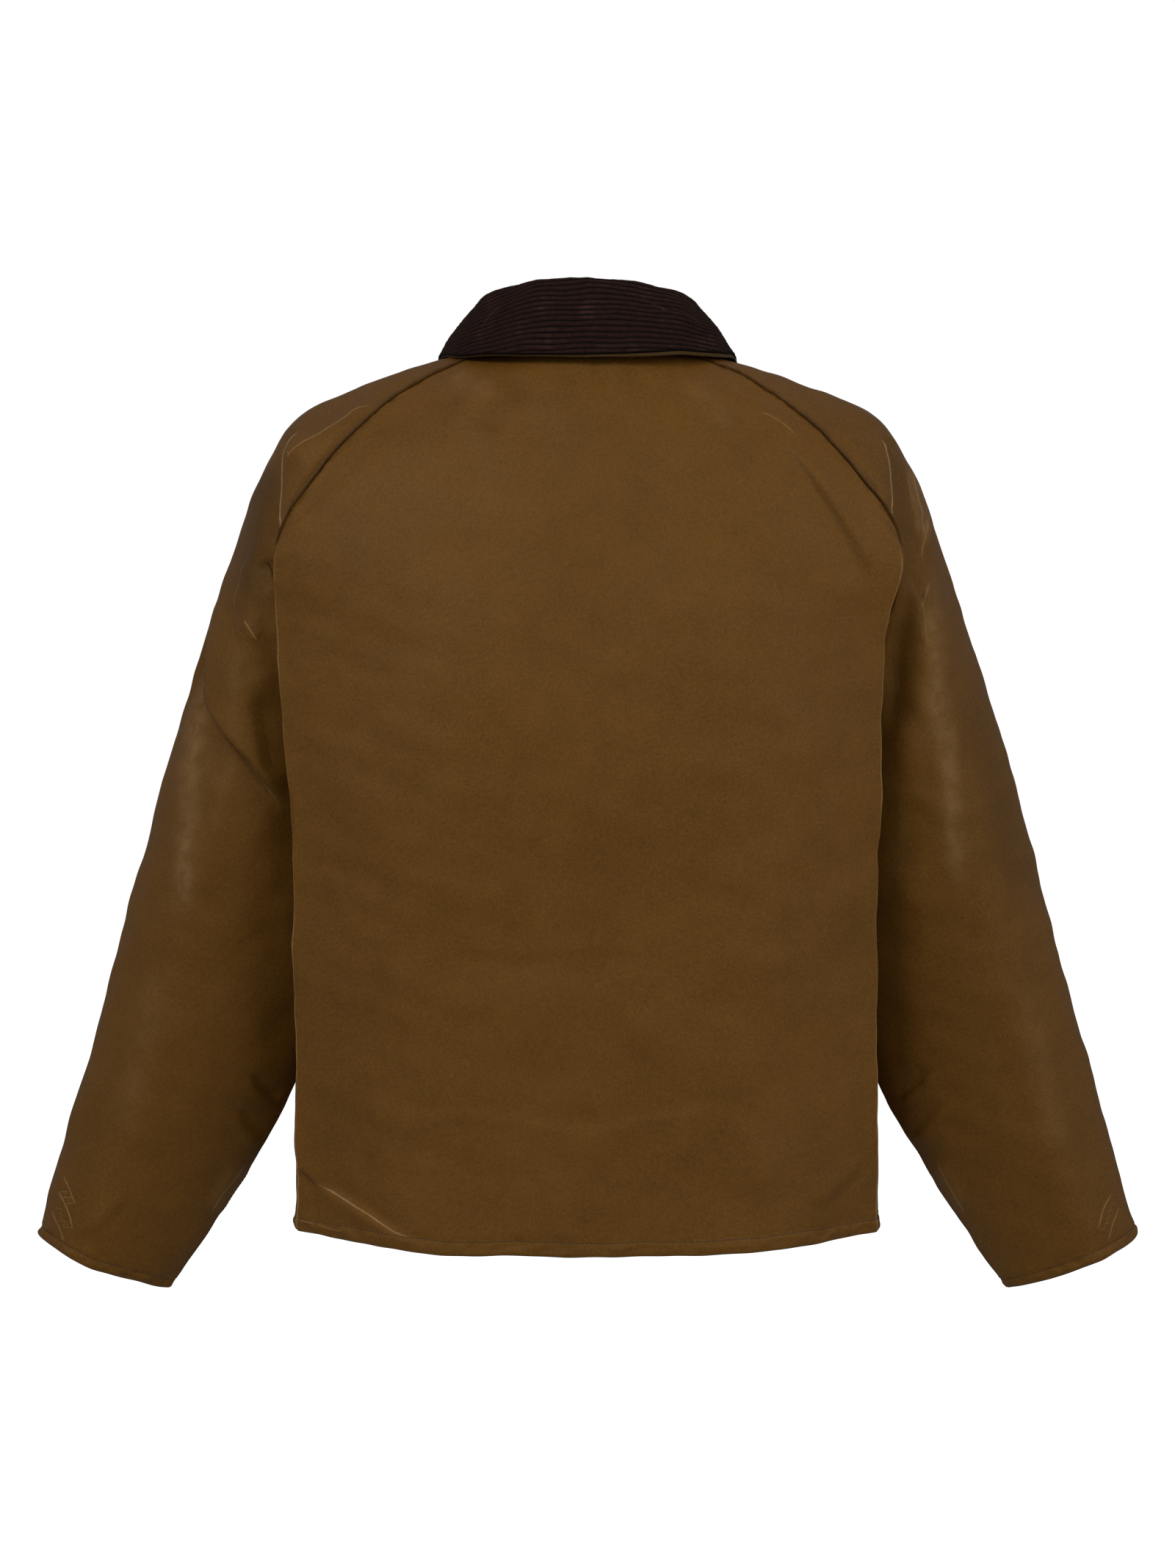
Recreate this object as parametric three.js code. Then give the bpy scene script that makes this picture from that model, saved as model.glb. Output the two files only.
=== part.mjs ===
// Waxed cotton raglan jacket with a corduroy collar, filled out as when it is worn.
// Millimetres, +Z up. The back faces +Y, the front -Y, and +X is the wearer's left.
// The origin is in the middle of the neck opening, level with the back neck seam.
import * as THREE from 'three';

// Cloth and seams
const CLOTH = 1.4;
const TURNED_EDGE = 2.6;
const HEM_DEPTH = 10.5;
const CUFF_DEPTH = 8.5;
const SEAM_GAP = 0.3;
const UNDERARM_GAP = 1.6;
const UNDERARM_REACH = 26;

// Corduroy collar
const CORDUROY = 1.7;
const UNDER_COLLAR = 1.3;
const WALE_COUNT = 30;
const WALE_HEIGHT = 0.8;
const ROLL_RADIUS = 6.5;
const COLLAR_LIFT = 0.8;
const UNDER_PEEK = 1.2;
const UNDER_HELD_BACK = 1;
const COLLAR_END_FROM_CENTRE = 2.5;

// Front closing
const PLACKET_HALF = 27;
const PLACKET_CLOTH = 2.2;
const STUD_COUNT = 6;
const STUD_RADIUS = 6.2;
const STUD_HEIGHT = 2.8;
const STUD_FROM_CENTRE = 13.5;

// How finely the surfaces are divided
const YOKE_STEPS = 14;
const TORSO_STEPS = 11;
const ARM_STEPS = 13;
const COLLAR_STEPS = 14;
const BACK_COLUMNS = [3, 4, 2, 2];
const SLEEVE_COLUMNS = [2, 3, 3, 3, 3, 2];
const FRONT_COLUMNS = [2, 2, 4, 2, 1];
const COLLAR_COLUMNS = [1, 2, 2, 2, 2, 2];

// Sections over one half of the garment, from the neck seam (share 0) to the underarm (share 1).
// Each runs from centre back, over the fold beside the armhole and the raglan seam, round the arm
// and back to centre front.
const YOKE = [
  { share: 0, centreBack: [0, 67, 0], blade: [43, 60, 2.5], backFold: [66, 48.5, 5],
    backTuck: [75.5, 41, 6.5], backSeam: [83, 33, 8.5], backInner: [88.5, 21, 11],
    backArm: [91.5, 9.5, 13], top: [92.5, -2, 13.5], frontArm: [91.5, -13.5, 12],
    frontInner: [88, -25.5, 7.5], frontSeam: [82, -37.5, 1], frontTuck: [75, -45, -8],
    frontFold: [66, -52, -19], chest: [42, -61.5, -41], centreFront: [0, -66, -56] },
  { share: 0.17, centreBack: [0, 95, -57], blade: [76, 88, -48], backFold: [117, 76, -40],
    backTuck: [134, 69, -36], backSeam: [148.5, 61, -31.5], backInner: [157, 40, -19.5],
    backArm: [161, 17, -11.5], top: [161, -6, -9.2], frontArm: [160, -27, -12.5],
    frontInner: [155, -46, -21.5], frontSeam: [142, -62, -38], frontTuck: [128, -70, -50],
    frontFold: [112, -76, -62], chest: [76, -84, -84], centreFront: [0, -88, -102] },
  { share: 0.35, centreBack: [0, 115, -117], blade: [104, 109, -107], backFold: [163, 97, -98],
    backTuck: [184, 90, -93], backSeam: [201, 83, -88.5], backInner: [219, 58, -68],
    backArm: [226, 28, -47], top: [225, -8, -36], frontArm: [225, -36, -46],
    frontInner: [217, -62, -66], frontSeam: [196, -78, -88], frontTuck: [179, -84, -99],
    frontFold: [158, -90, -110], chest: [100, -100, -138], centreFront: [0, -104, -154] },
  { share: 0.5, centreBack: [0, 123, -168], blade: [118, 118, -160], backFold: [225, 88, -147],
    backTuck: [230.5, 83, -146], backSeam: [234.5, 76, -144], backInner: [236, 58, -134],
    backArm: [252, 34, -108], top: [256, -9, -85.5], frontArm: [253, -40, -104],
    frontInner: [240, -64, -124], frontSeam: [225, -77, -143], frontTuck: [216, -83, -151],
    frontFold: [205, -88, -158], chest: [112, -109, -184], centreFront: [0, -113, -196] },
  { share: 0.7, centreBack: [0, 127, -235], blade: [120, 122, -231], backFold: [229.5, 79, -217],
    backTuck: [228, 62, -220], backSeam: [220, 47, -223], backInner: [237, 46, -209],
    backArm: [262, 42, -187], top: [283.5, -9, -159], frontArm: [266, -56, -183],
    frontInner: [232, -68, -205], frontSeam: [212, -62, -222], frontTuck: [215, -72, -223],
    frontFold: [215, -84, -225], chest: [115, -115, -243], centreFront: [0, -120, -251] },
  { share: 0.85, centreBack: [0, 127, -285], blade: [120, 122, -283], backFold: [227.5, 78, -273],
    backTuck: [217, 50, -277], backSeam: [202, 22, -280], backInner: [229, 38, -266],
    backArm: [268, 47, -242], top: [301.5, -10, -215], frontArm: [275, -63, -238],
    frontInner: [226, -56, -264], frontSeam: [199, -36, -280], frontTuck: [210, -60, -280],
    frontFold: [219, -81, -280], chest: [117, -118, -289], centreFront: [0, -124, -293] },
  { share: 1, centreBack: [0, 126, -335], blade: [120, 121, -335], backFold: [225, 77, -330],
    backTuck: [204, 47, -333], backSeam: [178, -5, -335], backInner: [218, 33, -317],
    backArm: [270, 51, -293.5], top: [318.5, -10, -271.5], frontArm: [276, -70, -291],
    frontInner: [218, -40, -317], frontSeam: [178, -5, -335], frontTuck: [200, -50, -334],
    frontFold: [221, -77, -333], chest: [118, -120, -335], centreFront: [0, -127, -335] },
];

// Sections of the body below the underarm, down to the hem (share 2)
const TORSO = [
  { share: 1.18, centreBack: [0, 123, -395], blade: [120, 118, -395], backFold: [221, 74, -393],
    backTuck: [206, 44, -394], side: [186, -4, -395], frontTuck: [204, -44, -395],
    frontFold: [218, -74, -394], chest: [118, -119, -395], centreFront: [0, -127, -395] },
  { share: 1.37, centreBack: [0, 120, -457], blade: [120, 115, -457], backFold: [220.5, 72, -455],
    backTuck: [210, 41, -456], side: [196, -2, -456], frontTuck: [207, -42, -456],
    frontFold: [216.5, -72, -456], chest: [118, -118, -456], centreFront: [0, -127, -456] },
  { share: 1.57, centreBack: [0, 119, -523], blade: [120, 114, -523], backFold: [219, 70, -520],
    backTuck: [214, 38, -520], side: [206, 0, -520], frontTuck: [211, -40, -520],
    frontFold: [216, -70, -520], chest: [118, -118, -520], centreFront: [0, -127, -519] },
  { share: 1.78, centreBack: [0, 120, -594], blade: [121, 115, -593], backFold: [218, 68, -589],
    backTuck: [218, 37, -588], side: [213, 0, -588], frontTuck: [214, -39, -588],
    frontFold: [216, -70, -588], chest: [119, -119, -587], centreFront: [0, -128, -586] },
  { share: 2, centreBack: [0, 123, -669], blade: [121, 118, -666.5], backFold: [217, 65, -660],
    backTuck: [220.5, 37, -658.5], side: [216.5, 0, -658], frontTuck: [216, -38, -658],
    frontFold: [214, -70, -658], chest: [119, -120, -657.5], centreFront: [0, -129, -657] },
];

// The fold beside the wearer's right armhole lies further in than the left one
const RIGHT_FOLD = [
  { share: 0, inward: 0 },
  { share: 0.35, inward: 0 },
  { share: 0.5, inward: 2 },
  { share: 0.7, inward: 7.5 },
  { share: 0.85, inward: 5.6 },
  { share: 1, inward: 5 },
  { share: 1.18, inward: 3 },
  { share: 1.57, inward: 1 },
  { share: 2, inward: 0 },
];

// Sections of the sleeve below the underarm, down to the cuff (share 2): the outer and inner ends
// of each, the depth of its axis, and how far it bulges to the back and the front
const ARM = [
  { share: 1.2, outer: [341, -349.5], inner: [191, -400], axis: -10, back: 56, front: 58 },
  { share: 1.4, outer: [363, -429], inner: [205, -466], axis: -13, back: 51, front: 51 },
  { share: 1.6, outer: [384.5, -509], inner: [220, -530], axis: -16, back: 46, front: 46 },
  { share: 1.75, outer: [401, -566], inner: [240, -577], axis: -19, back: 43, front: 43 },
  { share: 1.9, outer: [418.5, -629], inner: [285, -653], axis: -22, back: 40, front: 38 },
  { share: 2, outer: [432, -678], inner: [330, -720], axis: -24, back: 36, front: 34 },
];
const ARM_INNER_SHARE = 0.45;
const ARM_INNER_DEPTH = 0.74;
const ARM_OUTER_SHARE = 0.35;

// Collar sections from centre back (share 0 of the neck seam) to the front end (share 1): the top
// of the roll, and the edge of the fall, lying just clear of the shoulders and fronts
const COLLAR = [
  { share: 0, roll: [0, 56, 61.5], fall: [0, 81, 2.5] },
  { share: 0.17, roll: [45, 49, 60], fall: [57, 72.5, 4] },
  { share: 0.34, roll: [73.5, 27, 57.5], fall: [97, 42, 7.5] },
  { share: 0.47, roll: [84, -3, 53.5], fall: [116, -3, 13.5] },
  { share: 0.61, roll: [77, -32, 39], fall: [113, -50, -8] },
  { share: 0.75, roll: [58, -50, 11], fall: [98, -77, -44] },
  { share: 0.88, roll: [37, -60, -15], fall: [77, -93, -82] },
  { share: 1, roll: [13, -65, -32], fall: [48, -98, -109] },
];

// The largest folds, as soft ridges (height above 0) and troughs (below 0) in the cloth. Each lies
// on the back (face 1) or the front (face -1), along a line given by its ends and its middle.
const FOLDS = [
  { name: 'left arm, upper pull', face: 1, from: [289, -190], via: [287, -226], to: [284, -262],
    width: 13, height: 5 },
  { name: 'left arm, lower pull', face: 1, from: [284, -258], via: [262, -297], to: [237, -338],
    width: 14, height: 6 },
  { name: 'left arm, hollow', face: 1, from: [268, -200], via: [264, -240], to: [248, -282],
    width: 14, height: -6 },
  { name: 'left shoulder', face: 1, from: [166, -32], via: [205, -62], to: [228, -92],
    width: 12, height: 4 },
  { name: 'right shoulder', face: 1, from: [-172, -42], via: [-208, -68], to: [-226, -96],
    width: 13, height: 4 },
  { name: 'right back, drag', face: 1, from: [-120, -40], via: [-176, -98], to: [-214, -168],
    width: 14, height: -5 },
  { name: 'right back, ridge', face: 1, from: [-118, -62], via: [-160, -104], to: [-196, -172],
    width: 15, height: 4 },
  { name: 'right arm, pull', face: 1, from: [-247, -150], via: [-256, -200], to: [-270, -262],
    width: 13, height: 4 },
  { name: 'hem, lower left', face: 1, from: [214, -612], via: [184, -640], to: [134, -657],
    width: 11, height: -4 },
  { name: 'left elbow', face: -1, from: [228, -420], via: [272, -400], to: [322, -402],
    width: 14, height: -5 },
  { name: 'right elbow', face: -1, from: [-226, -432], via: [-270, -408], to: [-322, -412],
    width: 14, height: -5 },
  { name: 'left chest, pull', face: -1, from: [206, -170], via: [170, -196], to: [120, -214],
    width: 16, height: -4 },
  { name: 'right chest, pull', face: -1, from: [-206, -164], via: [-168, -196], to: [-118, -220],
    width: 16, height: -4 },
];

const WAX_BROWN = new THREE.MeshStandardMaterial({ color: 0x5a4220, roughness: 0.62, metalness: 0 });
const WAX_DARK = new THREE.MeshStandardMaterial({ color: 0x46361c, roughness: 0.66, metalness: 0 });
const CORD_BROWN = new THREE.MeshStandardMaterial({ color: 0x2e1e19, roughness: 0.92, metalness: 0 });
const BRASS = new THREE.MeshStandardMaterial({ color: 0x7a6238, roughness: 0.38, metalness: 0.9 });

const mirrored = (point) => new THREE.Vector3(-point.x, point.y, point.z);

// A smooth line through points at rising knots, with tangents from each point's neighbours
function splinePoint(points, knots, at) {
  let i = 0;
  while (i < knots.length - 2 && at > knots[i + 1]) i += 1;
  const tangent = (k) => {
    const a = Math.max(k - 1, 0);
    const b = Math.min(k + 1, knots.length - 1);
    return points[b].clone().sub(points[a]).divideScalar(knots[b] - knots[a]);
  };
  const span = knots[i + 1] - knots[i];
  const t = (at - knots[i]) / span;
  const t2 = t * t;
  const t3 = t2 * t;
  return points[i].clone().multiplyScalar(2 * t3 - 3 * t2 + 1)
    .addScaledVector(tangent(i), span * (t3 - 2 * t2 + t))
    .addScaledVector(points[i + 1], 3 * t2 - 2 * t3)
    .addScaledVector(tangent(i + 1), span * (t3 - t2));
}

// Knots that grow with the root of the distance, so uneven spacing makes no loops
function rootKnots(points) {
  const knots = [0];
  for (let i = 1; i < points.length; i += 1) {
    knots.push(knots[i - 1] + Math.sqrt(points[i].distanceTo(points[i - 1])));
  }
  return knots;
}

// Points along a section, with a count of steps for each stretch between its stations
function sampleSection(stations, columns, firstStretch) {
  const knots = rootKnots(stations);
  const points = [];
  columns.forEach((steps, stretch) => {
    const k = firstStretch + stretch;
    for (let s = 0; s < steps; s += 1) {
      points.push(splinePoint(stations, knots, knots[k] + (knots[k + 1] - knots[k]) * (s / steps)));
    }
  });
  points.push(stations[firstStretch + columns.length].clone());
  return points;
}

// One sleeve section below the underarm, with the stations of the yoke's sections
function armStations(row) {
  const outer = new THREE.Vector3(row.outer[0], row.axis, row.outer[1]);
  const inner = new THREE.Vector3(row.inner[0], row.axis, row.inner[1]);
  const middle = outer.clone().add(inner).multiplyScalar(0.5);
  const half = outer.clone().sub(inner).multiplyScalar(0.5);
  const bulge = (share, depth) => middle.clone().addScaledVector(half, share)
    .add(new THREE.Vector3(0, depth, 0));
  return {
    share: row.share,
    backInner: bulge(-ARM_INNER_SHARE, row.back * ARM_INNER_DEPTH),
    backArm: bulge(ARM_OUTER_SHARE, row.back),
    top: outer,
    frontArm: bulge(ARM_OUTER_SHARE, -row.front),
    frontInner: bulge(-ARM_INNER_SHARE, -row.front * ARM_INNER_DEPTH),
    inner,
  };
}

const vectorRows = (rows) => rows.map((row) => Object.fromEntries(Object.entries(row).map(
  ([key, value]) => [key, Array.isArray(value) ? new THREE.Vector3(...value) : value],
)));
const yokeRows = vectorRows(YOKE);
const torsoRows = vectorRows(TORSO);
const armRows = ARM.map(armStations);
const underarm = yokeRows.at(-1).backSeam;

// A station's place at any share, on the line through that station of every section
function stationAt(rows, key, share) {
  return splinePoint(rows.map((row) => row[key]), rows.map((row) => row.share), share);
}
const bodyRows = [...yokeRows, ...torsoRows];
const sleeveRows = [...yokeRows, ...armRows];
const sideRows = [{ share: 1, side: underarm }, ...torsoRows];
const innerRows = [{ share: 1, inner: underarm }, ...armRows];
const backSeamAt = (share) => (share <= 1 ? stationAt(yokeRows, 'backSeam', share)
  : stationAt(sideRows, 'side', share));
const frontSeamAt = (share) => (share <= 1 ? stationAt(yokeRows, 'frontSeam', share)
  : stationAt(sideRows, 'side', share));

function rightFoldInward(share) {
  let i = 0;
  while (i < RIGHT_FOLD.length - 2 && share > RIGHT_FOLD[i + 1].share) i += 1;
  const [before, after] = [RIGHT_FOLD[i], RIGHT_FOLD[i + 1]];
  const between = (share - before.share) / (after.share - before.share);
  return THREE.MathUtils.lerp(before.inward, after.inward, between);
}

function backSection(share, columns) {
  const keys = ['blade', 'backFold', 'backTuck'];
  const half = keys.map((key) => stationAt(bodyRows, key, share));
  const seam = backSeamAt(share);
  const rightHalf = half.map(mirrored);
  rightHalf[1].x += rightFoldInward(share);
  rightHalf[2].x += rightFoldInward(share);
  const centre = stationAt(bodyRows, 'centreBack', share);
  const stations = [mirrored(seam), ...rightHalf.reverse(), centre, ...half, seam];
  return sampleSection(stations, [...columns.slice().reverse(), ...columns], 0);
}

function frontSection(share, columns) {
  const half = ['frontTuck', 'frontFold', 'chest'].map((key) => stationAt(bodyRows, key, share));
  const centre = stationAt(bodyRows, 'centreFront', share);
  const chest = half[2];
  const across = PLACKET_HALF / chest.x;
  const edge = centre.clone().lerp(chest, across * across);
  edge.x = PLACKET_HALF;
  const stations = [frontSeamAt(share), ...half, edge, centre, mirrored(edge), mirrored(chest)];
  return sampleSection(stations, columns, 0);
}

function sleeveSection(share, columns) {
  const keys = ['backInner', 'backArm', 'top', 'frontArm', 'frontInner'];
  const round = keys.map((key) => stationAt(sleeveRows, key, share));
  if (share <= 1) {
    return sampleSection([backSeamAt(share), ...round, frontSeamAt(share)], columns, 0);
  }
  const inner = stationAt(innerRows, 'inner', share);
  return sampleSection([round.at(-1), inner, ...round, inner, round[0]], columns, 1);
}

// Shares of the sections: even steps, then two close ones where the edge is turned up
function sharesDown(steps, turnedShare) {
  const shares = [];
  for (let i = 1; i <= steps; i += 1) shares.push(1 + (1 - turnedShare) * (i / steps));
  shares.push(1 + (1 - turnedShare) + turnedShare * 0.1, 2);
  return shares;
}
const yokeShares = Array.from({ length: YOKE_STEPS + 1 }, (_, i) => i / YOKE_STEPS);
const torsoShares = [...yokeShares, ...sharesDown(TORSO_STEPS, HEM_DEPTH / 325)];
const armShares = [...yokeShares, ...sharesDown(ARM_STEPS, CUFF_DEPTH / 420)];

// A panel is a grid of points and the faces between them, with a wall thickness for each point
function gridPanel(name, sections, thickness, flipped) {
  const width = sections[0].length;
  const faces = [];
  for (let r = 0; r < sections.length - 1; r += 1) {
    for (let c = 0; c < width - 1; c += 1) {
      const corner = [r * width + c, r * width + c + 1, (r + 1) * width + c + 1, (r + 1) * width + c];
      if (sections[r][c].x + sections[r][c + 1].x < 0) corner.push(corner.shift());
      if (flipped) corner.reverse();
      faces.push([corner[0], corner[1], corner[2]], [corner[0], corner[2], corner[3]]);
    }
  }
  return { name, width, points: sections.flat(), thickness, faces };
}

const turned = (shares, width) => shares.flatMap((share, row) => (
  Array(width).fill(row >= shares.length - 2 ? TURNED_EDGE : CLOTH)
));

// Points at the same place become one, so the sleeve below the underarm closes on itself
const placeKey = (p) => [p.x, p.y, p.z].map((v) => Math.round(v * 1000)).join(',');
function welded(panel) {
  const first = new Map();
  const points = [];
  const thickness = [];
  const newIndex = panel.points.map((point, i) => {
    const key = placeKey(point);
    if (!first.has(key)) {
      first.set(key, points.length);
      points.push(point.clone());
      thickness.push(panel.thickness[i]);
    }
    return first.get(key);
  });
  const faces = panel.faces.map((face) => face.map((i) => newIndex[i]))
    .filter(([a, b, c]) => a !== b && b !== c && c !== a);
  return { ...panel, points, thickness, faces, newIndex };
}

// Outward directions shared by all panels, so the walls of neighbours run side by side at a seam
function shareNormals(panels) {
  const sums = new Map();
  const edge1 = new THREE.Vector3();
  const edge2 = new THREE.Vector3();
  for (const { points, faces } of panels) {
    for (const [a, b, c] of faces) {
      edge1.subVectors(points[b], points[a]);
      edge2.subVectors(points[c], points[a]);
      edge1.cross(edge2);
      for (const i of [a, b, c]) {
        const key = placeKey(points[i]);
        if (!sums.has(key)) sums.set(key, new THREE.Vector3());
        sums.get(key).add(edge1);
      }
    }
  }
  for (const sum of sums.values()) sum.normalize();
  for (const panel of panels) {
    panel.normals = panel.points.map((point) => sums.get(placeKey(point)).clone());
  }
}

// How far a fold lifts the cloth at a point, fading out along and across its line
function foldLift(point, normal) {
  let lift = 0;
  const at = new THREE.Vector2(point.x, point.z);
  for (const fold of FOLDS) {
    const facing = THREE.MathUtils.smoothstep(normal.y * fold.face, 0.1, 0.5);
    if (facing > 0) {
      const line = new THREE.QuadraticBezierCurve(new THREE.Vector2(...fold.from),
        new THREE.Vector2(...fold.via), new THREE.Vector2(...fold.to));
      let nearest = Infinity;
      let along = 0;
      for (let i = 0; i <= 12; i += 1) {
        const distance = line.getPoint(i / 12).distanceTo(at);
        if (distance < nearest) {
          nearest = distance;
          along = i / 12;
        }
      }
      const fade = Math.sqrt(Math.sin(Math.PI * THREE.MathUtils.clamp(along, 0.04, 0.96)));
      lift += facing * fold.height * fade * Math.exp(-((nearest / fold.width) ** 2));
    }
  }
  return lift;
}

// Directed edges that only one face has, which bound a panel
function boundaryEdges(faces) {
  const edges = new Map();
  for (const [a, b, c] of faces) {
    for (const [from, to] of [[a, b], [b, c], [c, a]]) edges.set(`${from},${to}`, [from, to]);
  }
  return [...edges.values()].filter(([from, to]) => !edges.has(`${to},${from}`));
}

// The gap opens a little at the underarm, where four seams meet at a point
function seamGapAt(point) {
  const away = Math.hypot(Math.abs(point.x) - underarm.x, point.y - underarm.y, point.z - underarm.z);
  return THREE.MathUtils.lerp(UNDERARM_GAP, SEAM_GAP, Math.min(away / UNDERARM_REACH, 1));
}

// The panel's edge drawn in by half the seam gap, within the cloth
function drawnIn(panel) {
  const inward = new Map();
  for (const [from, to] of boundaryEdges(panel.faces)) {
    const along = panel.points[to].clone().sub(panel.points[from]).normalize();
    for (const i of [from, to]) {
      const side = panel.normals[i].clone().cross(along).normalize();
      if (!inward.has(i)) inward.set(i, []);
      inward.get(i).push(side);
    }
  }
  return panel.points.map((point, i) => {
    if (!inward.has(i)) return point.clone();
    const sides = inward.get(i);
    const sum = sides.reduce((total, side) => total.add(side), new THREE.Vector3()).normalize();
    const reach = Math.max(sum.dot(sides[0]), 0.5);
    return point.clone().addScaledVector(sum, seamGapAt(point) / 2 / reach);
  });
}

function geometryOf(points, faces) {
  const geometry = new THREE.BufferGeometry();
  geometry.setAttribute('position', new THREE.Float32BufferAttribute(
    points.flatMap((p) => [p.x, p.y, p.z]), 3,
  ));
  geometry.setIndex(faces.flat());
  geometry.computeVertexNormals();
  return geometry;
}

// A closed wall of cloth: the panel's face, the same face moved in, and a rim round every edge
function wallGeometry(panel, lift = 0, hasSeams = true) {
  const base = hasSeams ? drawnIn(panel) : panel.points;
  const outer = base.map((point, i) => point.clone().addScaledVector(panel.normals[i], lift));
  const inner = base.map((point, i) => (
    point.clone().addScaledVector(panel.normals[i], lift - panel.thickness[i])
  ));
  const shift = outer.length;
  const faces = panel.faces.map((face) => [...face]);
  for (const [a, b, c] of panel.faces) faces.push([c + shift, b + shift, a + shift]);
  for (const [from, to] of boundaryEdges(panel.faces)) {
    faces.push([to, from, from + shift], [to, from + shift, to + shift]);
  }
  return geometryOf([...outer, ...inner], faces);
}

// The five large panels
function garmentPanels() {
  const back = torsoShares.map((share) => backSection(share, BACK_COLUMNS));
  const front = torsoShares.map((share) => frontSection(share, FRONT_COLUMNS));
  const sleeve = armShares.map((share) => sleeveSection(share, SLEEVE_COLUMNS));
  const mirror = (sections) => sections.map((section) => section.map(mirrored));
  const make = (name, sections, shares, flipped) => (
    welded(gridPanel(name, sections, turned(shares, sections[0].length), flipped))
  );
  const panels = [
    make('back', back, torsoShares, false),
    make('front_left', front, torsoShares, false),
    make('front_right', mirror(front), torsoShares, true),
    make('sleeve_left', sleeve, armShares, false),
    make('sleeve_right', mirror(sleeve), armShares, true),
  ];
  shareNormals(panels);
  for (const panel of panels) {
    panel.points.forEach((point, i) => {
      point.addScaledVector(panel.normals[i], foldLift(point, panel.normals[i]));
    });
  }
  shareNormals(panels);
  return panels;
}

// The placket lies on both fronts: it is made from their points, moved out
function placketPanel(left, right) {
  const width = 3;
  const firstRow = 2;
  const rows = torsoShares.length - firstRow;
  const points = [];
  const normals = [];
  for (let r = firstRow; r < torsoShares.length; r += 1) {
    const atCentre = r * left.width + left.width - 1;
    const picks = [[left, atCentre - 1], [left, atCentre], [right, atCentre - 1]];
    for (const [panel, grid] of picks) {
      points.push(panel.points[panel.newIndex[grid]].clone());
      normals.push(panel.normals[panel.newIndex[grid]].clone());
    }
  }
  const faces = [];
  for (let r = 0; r < rows - 1; r += 1) {
    const a = r * width;
    faces.push([a, a + 1, a + width + 1], [a, a + width + 1, a + width]);
    faces.push([a + 1, a + 2, a + width + 1], [a + 2, a + width + 2, a + width + 1]);
  }
  return { points, normals, faces, thickness: Array(points.length).fill(PLACKET_CLOTH) };
}

// Collar surface: up the stand, over the roll and down the fall, for any share of the neck seam
const neckLine = sampleSection([
  ...['centreBack', 'blade', 'backFold', 'backTuck', 'backSeam', 'backInner', 'backArm', 'top',
    'frontArm', 'frontInner', 'frontSeam', 'frontTuck', 'frontFold', 'chest', 'centreFront',
  ].map((key) => yokeRows[0][key]),
], Array(14).fill(4), 0);
const neckLengths = [0];
for (let i = 1; i < neckLine.length; i += 1) {
  neckLengths.push(neckLengths[i - 1] + neckLine[i].distanceTo(neckLine[i - 1]));
}
const neckLength = neckLengths.at(-1);
const collarRows = vectorRows(COLLAR);
const UP = new THREE.Vector3(0, 0, 1);
const RUN_STEP = 0.03;
const OUT_TO_FALL = 0.75;

function collarStations(share) {
  const neck = splinePoint(neckLine, neckLengths.map((length) => length / neckLength), share);
  neck.addScaledVector(UP, COLLAR_LIFT);
  if (share > 0.5) neck.x = Math.max(neck.x, COLLAR_END_FROM_CENTRE);
  const roll = stationAt(collarRows, 'roll', share);
  const fall = stationAt(collarRows, 'fall', share);
  const run = stationAt(collarRows, 'roll', Math.min(share + RUN_STEP, 1))
    .sub(share > 0 ? stationAt(collarRows, 'roll', share - RUN_STEP) : mirrored(roll)).setZ(0);
  if (share === 0) run.y = 0;
  const toFall = fall.clone().sub(roll).setZ(0).normalize();
  const out = UP.clone().cross(run).normalize().lerp(toFall, OUT_TO_FALL).normalize();
  const rollMiddle = roll.clone().addScaledVector(UP, -ROLL_RADIUS);
  const rollIn = rollMiddle.clone().addScaledVector(out, -ROLL_RADIUS);
  const rollOut = rollMiddle.clone().addScaledVector(out, ROLL_RADIUS);
  const stand = neck.clone().lerp(rollIn, 0.5);
  const fallMiddle = rollOut.clone().lerp(fall, 0.5).addScaledVector(out, 1.5).addScaledVector(UP, 1.5);
  return [neck, stand, rollIn, roll, rollOut, fallMiddle, fall];
}

// Shares along the whole collar, negative on the wearer's right
const collarShares = [];
for (let i = -COLLAR_STEPS; i <= COLLAR_STEPS; i += 1) collarShares.push(i / COLLAR_STEPS);

function collarSection(share, columns) {
  const stations = collarStations(Math.abs(share));
  const section = sampleSection(stations, columns, 0);
  return share < 0 ? section.map(mirrored) : section;
}

function collarPanel(columns) {
  const sections = collarShares.map((share) => collarSection(share, columns));
  const panel = gridPanel('collar', sections, [], true);
  shareNormals([panel]);
  return panel;
}

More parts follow.
